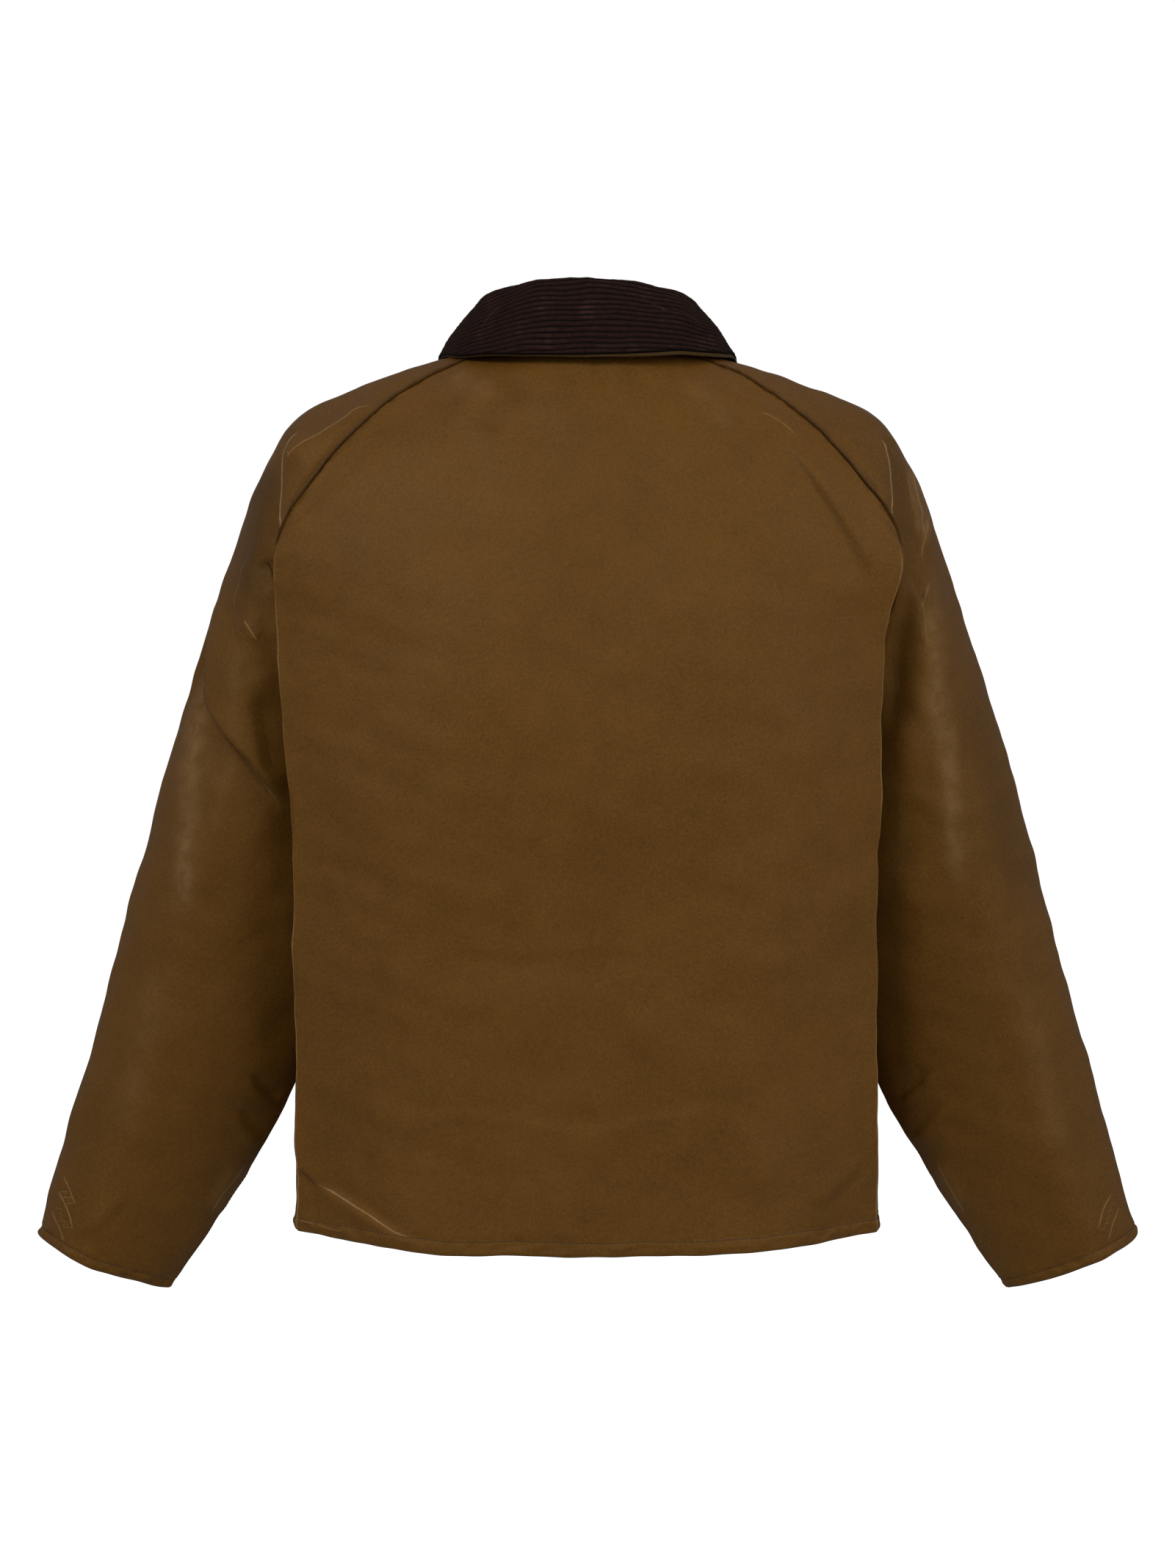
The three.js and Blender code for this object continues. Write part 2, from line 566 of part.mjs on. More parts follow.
// The top collar: wales raised in the outer points, a plain inside, and a rim round both
function collarTopGeometry() {
  const plain = collarPanel(COLLAR_COLUMNS);
  const stretches = COLLAR_COLUMNS.length;
  const halfWales = WALE_COUNT * 2;
  const fineSections = collarShares.map((share) => {
    const stations = collarStations(Math.abs(share));
    const fine = sampleSection(stations, Array(stretches).fill(20), 0);
    const lengths = [0];
    for (let i = 1; i < fine.length; i += 1) {
      lengths.push(lengths[i - 1] + fine[i].distanceTo(fine[i - 1]));
    }
    const section = [];
    for (let i = 0; i <= halfWales; i += 1) {
      section.push(splinePoint(fine, lengths, (lengths.at(-1) * i) / halfWales));
    }
    return share < 0 ? section.map(mirrored) : section;
  });
  const ribbed = gridPanel('wales', fineSections, [], true);
  shareNormals([ribbed]);
  const outer = ribbed.points.map((point, i) => {
    const raised = (i % ribbed.width) % 2 === 1 ? 0 : -WALE_HEIGHT;
    return point.clone().addScaledVector(ribbed.normals[i], raised);
  });
  const inner = plain.points.map((p, i) => p.clone().addScaledVector(plain.normals[i], -CORDUROY));
  const shift = outer.length;
  const faces = ribbed.faces.map((face) => [...face]);
  for (const [a, b, c] of plain.faces) faces.push([c + shift, b + shift, a + shift]);
  const last = collarShares.length - 1;
  for (let r = 0; r < last; r += 1) {
    for (const [outerColumn, innerColumn, atNeck] of [
      [0, 0, true], [ribbed.width - 1, plain.width - 1, false]]) {
      const a = r * ribbed.width + outerColumn;
      const b = (r + 1) * ribbed.width + outerColumn;
      const c = r * plain.width + innerColumn + shift;
      const d = (r + 1) * plain.width + innerColumn + shift;
      if (atNeck) faces.push([b, a, c], [b, c, d]);
      else faces.push([a, b, d], [a, d, c]);
    }
  }
  for (const row of [0, last]) {
    const outerStart = row * ribbed.width;
    const innerStart = row * plain.width + shift;
    let o = 0;
    let n = 0;
    while (o < ribbed.width - 1 || n < plain.width - 1) {
      const outerNext = (o + 1) / (ribbed.width - 1);
      const innerNext = (n + 1) / (plain.width - 1);
      const corner = [outerStart + o, innerStart + n];
      if (n === plain.width - 1 || (o < ribbed.width - 1 && outerNext <= innerNext)) {
        corner.push(outerStart + o + 1);
        o += 1;
      } else {
        corner.push(innerStart + n + 1);
        n += 1;
      }
      if (row === 0) corner.reverse();
      faces.push(corner);
    }
  }
  return geometryOf([...outer, ...inner], faces);
}

// The under collar lies inside the top collar, peeks out past the edge of the fall, and is held
// back a little from the front ends
function collarUnderGeometry() {
  const whole = collarPanel(COLLAR_COLUMNS);
  const cut = UNDER_HELD_BACK * whole.width;
  const rows = [];
  for (let i = cut; i < whole.points.length - cut; i += whole.width) {
    rows.push(whole.points.slice(i, i + whole.width));
  }
  const panel = gridPanel('under', rows, [], true);
  panel.normals = whole.normals.slice(cut, whole.normals.length - cut);
  const last = panel.width - 1;
  panel.points.forEach((point, i) => {
    if (i % panel.width === last) {
      const along = point.clone().sub(panel.points[i - 1]).normalize();
      point.addScaledVector(along, UNDER_PEEK);
    }
  });
  panel.thickness = Array(panel.points.length).fill(UNDER_COLLAR);
  return wallGeometry(panel, -CORDUROY - SEAM_GAP, false);
}

// A press stud's domed cap, turned to face out of the placket
function studMesh(number, placket) {
  const rim = 0.9;
  const profile = [new THREE.Vector2(0, 0), new THREE.Vector2(STUD_RADIUS, 0),
    new THREE.Vector2(STUD_RADIUS, rim)];
  for (const turn of [30, 55, 90]) {
    const angle = THREE.MathUtils.degToRad(turn);
    profile.push(new THREE.Vector2(turn === 90 ? 0 : STUD_RADIUS * 0.92 * Math.cos(angle),
      rim + (STUD_HEIGHT - rim) * Math.sin(angle)));
  }
  const stud = new THREE.Mesh(new THREE.LatheGeometry(profile, 20), BRASS);
  stud.name = `stud_${number}`;
  const row = Math.round(1 + ((placket.points.length / 3 - 5) * (number - 1)) / (STUD_COUNT - 1));
  const cell = [row * 3 + 1, row * 3 + 2, row * 3 + 4, row * 3 + 5];
  const place = new THREE.Vector3();
  const facing = new THREE.Vector3();
  for (const i of cell) {
    place.addScaledVector(placket.points[i], 1 / cell.length);
    facing.add(placket.normals[i]);
  }
  facing.normalize();
  place.x = -STUD_FROM_CENTRE;
  stud.position.copy(place).addScaledVector(facing, PLACKET_CLOTH + 3 * SEAM_GAP);
  stud.quaternion.setFromUnitVectors(new THREE.Vector3(0, 1, 0), facing);
  return stud;
}

function namedMesh(name, geometry, material) {
  const mesh = new THREE.Mesh(geometry, material);
  mesh.name = name;
  return mesh;
}

const jacket = new THREE.Group();
const panels = garmentPanels();
for (const panel of panels) {
  const material = panel.name.startsWith('sleeve') ? WAX_DARK : WAX_BROWN;
  jacket.add(namedMesh(panel.name, wallGeometry(panel), material));
}
jacket.add(namedMesh('collar_top', collarTopGeometry(), CORD_BROWN));
jacket.add(namedMesh('collar_under', collarUnderGeometry(), WAX_DARK));

const placket = placketPanel(panels[1], panels[2]);
jacket.add(namedMesh('placket', wallGeometry(placket, PLACKET_CLOTH + SEAM_GAP), WAX_BROWN));
for (let number = 1; number <= STUD_COUNT; number += 1) jacket.add(studMesh(number, placket));

export default jacket;
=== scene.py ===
# Waxed cotton jacket: thin cloth shells on the form of the CAD solids, with their creases, seams,
# stitching and finishes. Tables and shapes are in millimetres; meshes are made in metres.
# The wearer's left is +x, and the photograph sees the back, which faces +y.
import math

import bpy
import numpy as np
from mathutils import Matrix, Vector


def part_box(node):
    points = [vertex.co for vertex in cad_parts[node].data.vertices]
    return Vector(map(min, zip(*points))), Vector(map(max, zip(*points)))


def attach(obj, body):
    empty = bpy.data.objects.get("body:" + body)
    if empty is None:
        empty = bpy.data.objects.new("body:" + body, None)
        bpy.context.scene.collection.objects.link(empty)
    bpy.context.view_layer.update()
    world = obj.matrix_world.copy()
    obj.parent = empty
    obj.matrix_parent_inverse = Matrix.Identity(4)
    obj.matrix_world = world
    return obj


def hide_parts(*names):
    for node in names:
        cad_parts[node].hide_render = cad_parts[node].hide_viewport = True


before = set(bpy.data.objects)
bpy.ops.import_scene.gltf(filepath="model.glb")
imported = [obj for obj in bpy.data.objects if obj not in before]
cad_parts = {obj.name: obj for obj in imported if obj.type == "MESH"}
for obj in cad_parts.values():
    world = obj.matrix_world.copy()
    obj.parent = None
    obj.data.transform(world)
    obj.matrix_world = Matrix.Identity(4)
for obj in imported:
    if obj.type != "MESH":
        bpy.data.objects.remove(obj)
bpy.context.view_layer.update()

scene = bpy.context.scene

MM = 0.001
CLOTH = 1.3
TURNED_EDGE = 2.5
HEM_DEPTH = 10.5
CUFF_DEPTH = 8.5
SEAM_GAP = 0.3
UNDERARM_GAP = 1.6
UNDERARM_REACH = 26
FELL_RISE = 0.8
FELL_WIDTH = 7
STITCH_FROM_SEAM = 2.8
CORDUROY = 1.7
UNDER_COLLAR = 1.3
WALE_COUNT = 30
WALE_HEIGHT = 0.85
ROLL_RADIUS = 6.5
COLLAR_LIFT = 0.8
COLLAR_TUCK = 5.2
COLLAR_DROP = 4.2
FALL_LOWER = 2.8
UNDER_PEEK = 3
COLLAR_END_FROM_CENTRE = 2.5
PLACKET_HALF = 27
PLACKET_CLOTH = 2.2
STUD_COUNT = 6
STUD_RADIUS = 6.2
STUD_HEIGHT = 2.8
STUD_FROM_CENTRE = 13.5
ARM_INNER_SHARE = 0.45
ARM_INNER_DEPTH = 0.74
ARM_OUTER_SHARE = 0.35
YOKE_ROWS = 130
TORSO_ROWS = 124
ARM_ROWS = 150
TURNED_ROWS = 11
COLLAR_ROWS = 168
WALE_COLUMNS = 6
PLACKET_COLUMNS = 10
CUT_LENGTH = dict(torso=325, arm=420)
FAR = 60
FIELD_FAR = 30
LINE_FAR = 9.0
UP = np.array([0.0, 0.0, 1.0])

NECK_KEYS = ("centre_back", "blade", "back_fold", "back_tuck", "back_seam", "back_inner", "back_arm",
             "top", "front_arm", "front_inner", "front_seam", "front_tuck", "front_fold", "chest",
             "centre_front")
TORSO_KEYS = ("centre_back", "blade", "back_fold", "back_tuck", "side", "front_tuck", "front_fold",
              "chest", "centre_front")


def named(keys, rows):
    return [dict(zip(("share", *keys), row)) for row in rows]


# Sections from the neck seam (share 0) to the underarm (share 1), as in the part's source: each
# runs from centre back over the raglan seams and the sleeve to centre front
YOKE = named(NECK_KEYS, [
    (0, (0, 67, 0), (43, 60, 2.5), (66, 48.5, 5), (75.5, 41, 6.5), (83, 33, 8.5), (88.5, 21, 11),
     (91.5, 9.5, 13), (92.5, -2, 13.5), (91.5, -13.5, 12), (88, -25.5, 7.5), (82, -37.5, 1),
     (75, -45, -8), (66, -52, -19), (42, -61.5, -41), (0, -66, -56)),
    (0.17, (0, 95, -57), (76, 88, -48), (117, 76, -40), (134, 69, -36), (148.5, 61, -31.5),
     (157, 40, -19.5), (161, 17, -11.5), (161, -6, -9.2), (160, -27, -12.5), (155, -46, -21.5),
     (142, -62, -38), (128, -70, -50), (112, -76, -62), (76, -84, -84), (0, -88, -102)),
    (0.35, (0, 115, -117), (104, 109, -107), (163, 97, -98), (184, 90, -93), (201, 83, -88.5),
     (219, 58, -68), (226, 28, -47), (225, -8, -36), (225, -36, -46), (217, -62, -66),
     (196, -78, -88), (179, -84, -99), (158, -90, -110), (100, -100, -138), (0, -104, -154)),
    (0.5, (0, 123, -168), (118, 118, -160), (232, 87, -147), (234.2, 82, -146), (234.5, 76, -144),
     (236, 58, -134), (252, 34, -108), (256, -9, -85.5), (253, -40, -104), (240, -64, -124),
     (225, -77, -143), (216, -83, -151), (205, -88, -158), (112, -109, -184), (0, -113, -196)),
    (0.7, (0, 127, -235), (120, 122, -231), (231.5, 79, -217), (228, 62, -220), (220, 47, -223),
     (237, 46, -209), (262, 42, -187), (283.5, -9, -159), (266, -56, -183), (232, -68, -205),
     (212, -62, -222), (215, -72, -223), (215, -84, -225), (115, -115, -243), (0, -120, -251)),
    (0.85, (0, 127, -285), (120, 122, -283), (227.5, 78, -273), (217, 50, -277), (202, 22, -280),
     (229, 38, -266), (268, 47, -242), (301.5, -10, -215), (275, -63, -238), (226, -56, -264),
     (199, -36, -280), (210, -60, -280), (219, -81, -280), (117, -118, -289), (0, -124, -293)),
    (1, (0, 126, -335), (120, 121, -335), (225, 77, -330), (204, 47, -333), (178, -5, -335),
     (218, 33, -317), (270, 51, -293.5), (318.5, -10, -271.5), (276, -70, -291), (218, -40, -317),
     (178, -5, -335), (200, -50, -334), (221, -77, -333), (118, -120, -335), (0, -127, -335)),
])

# Sections on down the body, to the hem (share 2)
TORSO = named(TORSO_KEYS, [
    (1.18, (0, 123, -395), (120, 118, -395), (221, 74, -393), (206, 44, -394), (186, -4, -395),
     (204, -44, -395), (218, -74, -394), (118, -119, -395), (0, -127, -395)),
    (1.37, (0, 120, -457), (120, 115, -457), (220.5, 72, -455), (210, 41, -456), (196, -2, -456),
     (207, -42, -456), (216.5, -72, -456), (118, -118, -456), (0, -127, -456)),
    (1.57, (0, 119, -523), (120, 114, -523), (219, 70, -520), (214, 38, -520), (206, 0, -520),
     (211, -40, -520), (216, -70, -520), (118, -118, -520), (0, -127, -519)),
    (1.78, (0, 120, -594), (121, 115, -593), (218, 68, -589), (218, 37, -588), (213, 0, -588),
     (214, -39, -588), (216, -70, -588), (119, -119, -587), (0, -128, -586)),
    (2, (0, 123, -669), (121, 118, -666.5), (217, 65, -660), (220.5, 37, -658.5), (216.5, 0, -658),
     (216, -38, -658), (214, -70, -658), (119, -120, -657.5), (0, -129, -657)),
])

# Sections on down the sleeve, to the cuff: x and z of its outer and inner sides, y of its
# axis, and how far its back and its front stand from that
ARM = named(("outer", "inner", "axis", "back", "front"), [
    (1.2, (341, -349.5), (191, -400), -10, 56, 58),
    (1.4, (363, -429), (205, -466), -13, 51, 51),
    (1.6, (384.5, -509), (220, -530), -16, 46, 46),
    (1.75, (401, -566), (240, -577), -19, 43, 43),
    (1.9, (418.5, -629), (285, -653), -22, 40, 38),
    (2, (432, -678), (330, -720), -24, 36, 34),
])

# The collar's roll and the edge of its fall, from centre back to its front end
COLLAR = named(("roll", "fall"), [
    (0, (0, 56, 61.5), (0, 81, 2.5)),
    (0.17, (45, 49, 60), (57, 72.5, 4)),
    (0.34, (73.5, 27, 57.5), (97, 42, 7.5)),
    (0.47, (84, -3, 53.5), (116, -3, 13.5)),
    (0.61, (77, -32, 39), (113, -50, -8)),
    (0.75, (58, -50, 11), (98, -77, -44)),
    (0.88, (37, -60, -15), (77, -93, -82)),
    (1, (13, -65, -32), (48, -98, -109)),
])

# How far the back's two folds lie inward of its sections
FOLD_INWARD = named(("left", "right"), [
    (0.5, 0, 0),
    (0.52, 0.8, 1),
    (0.54, 2.4, 3.2),
    (0.56, 3.3, 5.1),
    (0.58, 3.4, 6.6),
    (0.6, 3, 7.8),
    (0.63, 1.2, 9.1),
    (0.66, 0, 8.8),
    (0.7, -1, 8.5),
    (0.85, -1.2, 7.6),
    (1, 0, 5),
    (1.18, 0, 3),
    (1.57, 0, 1),
    (2, 0, 0),
])


def crease(points, left=(0, 8), right=(0, 8), edge=2, **drawn):
    return dict(points=np.array(points, float), left=left, right=right, edge=edge, **drawn)


# Creases by panel and by the side that they face, 1 behind and -1 in front: x and z of
# each line's points, then its height and width to the left of its travel and to the right, and the
# width of the step between them. A pale line is painted highlight with some worn wax, and a dark line
# is painted shade, by its strength; "line" moves it off the step. A bloom is wax gone pale with a
# painted sheen, and below zero it is painted shade.
CREASES = {
    ("sleeve_left", 1): [
        crease([(222.6, -52), (229, -70), (232.5, -94), (233.5, -120), (233.5, -140)], (-3.6, 13),
               (2.6, 18), 1.2, pale=1, line=3, ends=(0.1, 0.06)),
        # painted shade on the outer upper sleeve, beyond the cap fold, where the cloth turns away
        # from the light
        crease([(243, -62), (249, -90), (254, -125), (259, -160), (266, -195)], bloom=-0.75,
               bloom_width=13),
        crease([(160, -36), (173, -39), (185, -49), (199, -59), (213, -68), (222, -76),
               (231, -84)], (3.6, 9), (3.6, 11), 2, pale=0.5),
        crease([(176, -62), (196, -80), (213, -97), (224, -116)], (-2.6, 9), (-2.6, 10), 3,
               dark=0.3),
        # the large fold, where the upper sleeve lies over the lower
        crease([(292, -180), (293, -210), (293, -239), (292, -256), (288, -269), (281, -280),
               (271, -293), (259, -304), (251, -315), (242, -329), (231, -345)], (-6, 24),
               (5.5, 21), 1.6, pale=1, dark=0.9),
        crease([(281, -180), (272, -203), (263, -228), (256, -250)], (-4, 9), (-4, 12), 3,
               dark=0.15),
        crease([(252, -254), (248, -272), (243, -296), (238, -320)], (-3.4, 8), (-3.4, 9), 3,
               dark=0.25),
        crease([(246, -152), (242, -163), (238, -176)], (-3.2, 6), (-3.2, 7), 2, dark=1),
        crease([(263, -196), (257, -205), (251, -214)], (1.8, 6), (1.2, 6), 1.4, pale=0.7),
        crease([(262, -150), (268, -172), (272, -190)], (1.6, 9), (2.2, 8), 2, pale=0.2),
        # the soft ridge down its outer part, with wax bloom and a painted sheen band along it
        crease([(303, -232), (304, -284), (306, -329), (308, -386), (313, -436)], (1.5, 12),
               (1.5, 14), 4, bloom=1, bloom_width=9),
        crease([(330, -455), (338, -500), (349, -552), (362, -600)], (1.3, 16), (1.3, 16), 5,
               bloom=0.3, bloom_width=10),
        # the lower part, towards the cuff
        crease([(263, -549), (253, -562), (242, -572)], (1.8, 7), (-2.4, 9), 2.4, dark=0.35),
        crease([(272, -575), (264, -592), (255, -604)], (1.6, 8), (-1.6, 8), 2.4, dark=0.2),
        crease([(268, -618), (278, -632), (288, -646), (296, -660)], (2.2, 7), (1.6, 9), 2,
               pale=0.45, bloom=0.4, bloom_width=6),
        crease([(352, -640), (366, -655), (384, -668), (402, -676)], (1.5, 10), (-1.2, 10), 4),
        crease([(236, -398), (246, -424), (250, -452)], (-2, 10), (-2, 11), 4, dark=0.1),
        # worn streaks
        crease([(413, -639), (404, -652), (398, -668)], pale=0.75),
        crease([(408, -628), (401, -640), (396, -650)], pale=0.5),
        crease([(419, -655), (411, -668), (406, -679)], pale=0.55),
    ],
    ("sleeve_right", 1): [
        crease([(-225.6, -58), (-228, -75), (-229.8, -94), (-229.8, -120), (-229, -140)],
               (2.6, 18), (-3.6, 13), 1.2, pale=0.95, line=-3, ends=(0.1, 0.06)),
        # painted shade on the outer part of the sleeve, where the cloth turns away from the light
        crease([(-238, -60), (-242, -90), (-245, -120), (-244, -160)], bloom=-0.45, bloom_width=8),
        crease([(-290, -240), (-306, -300), (-322, -360), (-338, -420)], bloom=-0.4, bloom_width=16),
        crease([(-250, -66), (-251, -91), (-256, -115), (-259, -140)], (1.2, 8), (1.4, 9), 2.4,
               pale=0.45, bloom=1, bloom_width=7),
        crease([(-262, -112), (-258, -134), (-255, -152)], (-1.8, 6), (1.6, 6), 1.8, pale=0.4,
               dark=0.2),
        crease([(-246, -166), (-255, -186), (-257, -200), (-258, -220)], (1.8, 8), (-2, 8), 1.8,
               pale=0.5, dark=0.3),
        crease([(-262, -166), (-256, -189), (-259, -213)], (-1.6, 6), (1.8, 7), 1.6, pale=0.45),
        crease([(-229, -170), (-232, -201), (-234, -245), (-236, -288)], (-3.6, 12), (-3.6, 11), 3,
               dark=0.2),
        crease([(-261, -149), (-262, -200), (-266, -256), (-274, -300), (-278, -360),
               (-286, -420)], (2.8, 13), (2.4, 15), 4, bloom=0.75, bloom_width=8),
        crease([(-252, -330), (-246, -362), (-242, -396)], (-2, 10), (-2, 9), 4, dark=0.12),
        crease([(-266, -544), (-256, -558), (-243, -568)], (-2.2, 9), (1.8, 7), 2.4, dark=0.35),
        crease([(-276, -571), (-266, -586), (-256, -601)], (-1.5, 8), (1.5, 8), 2.4, dark=0.2),
        crease([(-272, -616), (-281, -631), (-290, -648), (-297, -662)], (1.5, 9), (2, 7), 2,
               pale=0.35, bloom=0.3, bloom_width=6),
        crease([(-336, -470), (-346, -520), (-358, -576), (-372, -622)], (1.3, 16), (1.3, 16), 5,
               bloom=0.25, bloom_width=10),
        # worn streaks
        crease([(-410, -640), (-401, -653), (-396, -667)], pale=0.7),
        crease([(-417, -652), (-409, -664), (-404, -678)], pale=0.5),
    ],
    ("back", 1): [
        crease([(104, -8), (96, -16), (86, -24), (66, -30)], (1.6, 9), (1.6, 10), 3, bloom=0.5,
               bloom_width=9),
        # a soft trough, with painted shade in it
        crease([(48, -12), (54, -26), (64, -44), (80, -66)], (-1.4, 10), (-1.4, 11), 4,
               bloom=-0.25, bloom_width=9),
        crease([(-70, -16), (-84, -28), (-96, -44), (-104, -62)], (1.2, 10), (1.4, 9), 4,
               bloom=0.25, bloom_width=9),
        crease([(-128, -44), (-142, -51), (-157, -62)], (1.8, 9), (2.4, 8), 2.4, pale=0.35),
        crease([(-146, -64), (-154, -77), (-164, -92), (-175, -108), (-187, -127), (-198, -145),
               (-205, -159), (-211, -172)], (-2.6, 15), (3, 16), 2.6, dark=0.5, pale=0.25),
        crease([(118, -52), (148, -78), (178, -106), (204, -134)], (1.4, 16), (1.4, 20), 6),
        crease([(216, -611), (208, -620), (203, -623)], (-1.8, 7), (1.4, 8), 1.6, dark=0.6),
        crease([(205, -621), (184, -630), (163, -641), (141, -653), (127, -657)], (2.4, 9),
               (-1.8, 11), 2.4, pale=0.75),
        crease([(222, -648), (214, -651), (203, -652)], (1.4, 5), (1, 5), 1.6, pale=0.5),
        crease([(164, -561), (120, -565), (86, -562), (40, -570), (-3, -575), (-43, -567),
               (-86, -561), (-128, -560)], (0.5, 8), (-0.7, 12), 5),
        crease([(112, -444), (60, -449), (10, -446), (-64, -449)], (-0.6, 11), (0.5, 9), 5),
        crease([(188, -196), (196, -260), (192, -330)], (1, 20), (-0.8, 26), 12),
        crease([(-186, -230), (-194, -300), (-190, -372)], (-0.8, 26), (1, 20), 12),
        crease([(-208, -600), (-198, -616), (-180, -630), (-162, -638)], (1.2, 12), (-1, 10), 4),
        crease([(203, -652), (192, -655), (180, -656)], pale=0.35),
    ],
    ("sleeve_left", -1): [
        crease([(232, -128), (252, -152), (268, -184), (279, -222)], (3.2, 11), (-3, 14), 3,
               pale=0.45, dark=0.3),
        crease([(236, -214), (256, -232), (284, -244), (306, -262)], (-3.4, 12), (3, 14), 3.5,
               dark=0.3),
        crease([(226, -296), (250, -300), (280, -316), (304, -340)], (2.8, 12), (-3.2, 13), 3,
               pale=0.35, dark=0.3),
        crease([(228, -414), (252, -404), (286, -398), (320, -404)], (2.4, 12), (-4, 13), 2.6,
               pale=0.4, dark=0.5),
        crease([(232, -446), (262, -440), (296, -446), (326, -462)], (-3, 11), (2.4, 14), 3.4,
               dark=0.3),
        crease([(244, -492), (272, -482), (300, -486)], (1.8, 11), (-2.2, 12), 4, pale=0.2),
        crease([(262, -552), (252, -566), (243, -580)], (1.6, 8), (-2.2, 9), 2.6, dark=0.3),
        crease([(300, -276), (310, -330), (318, -386), (330, -440)], (1.5, 14), (1.5, 13), 4,
               bloom=0.7, bloom_width=9),
        crease([(352, -520), (366, -574), (384, -628)], (1.2, 15), (1.2, 15), 5, bloom=0.3,
               bloom_width=9),
        crease([(410, -636), (402, -650), (397, -664)], pale=0.6),
    ],
    ("sleeve_right", -1): [
        crease([(-234, -124), (-256, -150), (-270, -188), (-277, -230)], (-3, 14), (3, 11), 3,
               pale=0.5, dark=0.3),
        crease([(-230, -222), (-254, -236), (-278, -256), (-298, -282)], (3, 12), (-3.2, 12), 3.4,
               dark=0.35),
        crease([(-224, -312), (-252, -312), (-284, -322)], (-2.8, 12), (2.6, 14), 3, pale=0.3),
        crease([(-226, -428), (-256, -412), (-290, -406), (-324, -414)], (-4, 13), (2.4, 12), 2.6,
               pale=0.4, dark=0.5),
        crease([(-236, -462), (-268, -450), (-306, -458)], (2.4, 14), (-3, 11), 3.4, dark=0.3),
        crease([(-246, -512), (-270, -500), (-298, -500), (-318, -510)], (-2, 12), (1.8, 12), 4),
        crease([(-264, -560), (-254, -574), (-246, -590)], (-2, 9), (1.6, 8), 2.6, dark=0.3),
        crease([(-302, -262), (-312, -320), (-320, -372), (-334, -426)], (1.5, 13), (1.5, 14), 4,
               bloom=0.6, bloom_width=9),
        crease([(-412, -642), (-403, -654), (-399, -670)], pale=0.6),
    ],
    ("front_left", -1): [
        crease([(204, -168), (178, -188), (146, -204), (116, -214)], (2.2, 13), (-3, 16), 3.5,
               pale=0.3, dark=0.25),
        crease([(200, -226), (172, -240), (140, -250)], (-2, 14), (1.8, 12), 5),
        crease([(196, -316), (184, -352), (178, -398), (180, -440)], (1.8, 16), (-2, 18), 6,
               dark=0.1),
        crease([(120, -120), (112, -160), (116, -204)], (1.2, 16), (-1, 14), 6),
        crease([(206, -606), (184, -622), (156, -634), (128, -640)], (1.8, 10), (-1.8, 12), 3,
               pale=0.4),
        crease([(88, -520), (96, -566), (92, -612)], (1, 15), (-1, 15), 6),
    ],
    ("front_right", -1): [
        crease([(-204, -162), (-174, -188), (-142, -206), (-116, -222)], (-3, 16), (2.2, 13), 3.5,
               pale=0.3, dark=0.25),
        crease([(-198, -240), (-168, -252), (-132, -256)], (1.8, 12), (-2, 14), 5),
        crease([(-198, -330), (-188, -372), (-180, -420)], (-2, 18), (1.8, 16), 6, dark=0.1),
        crease([(-118, -130), (-108, -172), (-114, -210)], (-1, 14), (1.2, 16), 6),
        crease([(-210, -596), (-192, -618), (-168, -636), (-150, -642)], (-1.8, 12), (1.8, 10), 3,
               pale=0.35),
        crease([(-94, -496), (-86, -548), (-94, -600)], (-1, 15), (1, 15), 6),
    ],
    ("collar", 1): [
        crease([(-47, 42), (-60, 35), (-73, 34), (-88, 29)], (1.3, 4), (-1, 5), 1.4, pale=0.8),
        crease([(62, 44), (74, 34), (84, 20)], (0.9, 5), (-0.6, 6), 2, pale=0.25),
        crease([(18, 50), (12, 36), (15, 20)], (0.5, 9), (-0.5, 9), 5),
    ],
    ("collar", -1): [
        crease([(60, -10), (72, -30), (92, -44)], (1.2, 6), (-1, 7), 2, pale=0.4),
        crease([(-58, -6), (-74, -24), (-90, -44)], (-1, 7), (1.2, 6), 2, pale=0.4),
    ],
}


def smooth(value, low, high):
    share = np.clip((value - low) / (high - low), 0, 1)
    return share * share * (3 - 2 * share)


def unit(vectors):
    return vectors / np.maximum(np.linalg.norm(vectors, axis=-1, keepdims=True), 1e-9)


def hermite(t, start, end, start_slope, end_slope):
    t2 = t * t
    t3 = t2 * t
    return (start * (2 * t3 - 3 * t2 + 1) + start_slope * (t3 - 2 * t2 + t)
            + end * (3 * t2 - 2 * t3) + end_slope * (t3 - t2))


def spline(points, knots, at):
    """Places on a smooth line through points at rising knots."""
    points = np.asarray(points, float)
    knots = np.asarray(knots, float)
    at = np.atleast_1d(np.asarray(at, float))
    number = np.arange(len(knots))
    before = np.maximum(number - 1, 0)
    after = np.minimum(number + 1, len(knots) - 1)
    tangents = (points[after] - points[before]) / (knots[after] - knots[before])[:, None]
    i = np.clip(np.searchsorted(knots, at) - 1, 0, len(knots) - 2)
    span = (knots[i + 1] - knots[i])[:, None]
    t = (at - knots[i])[:, None] / span
    return hermite(t, points[i], points[i + 1], tangents[i] * span, tangents[i + 1] * span)


def run_of(points):
    """How far along a line of points each of them is."""
    return np.concatenate([[0], np.cumsum(np.linalg.norm(np.diff(points, axis=0), axis=1))])


def read_at(at, far, points):
    """The points of a line at set distances along it."""
    return np.stack([np.interp(at, far, points[:, i]) for i in range(3)], axis=-1)


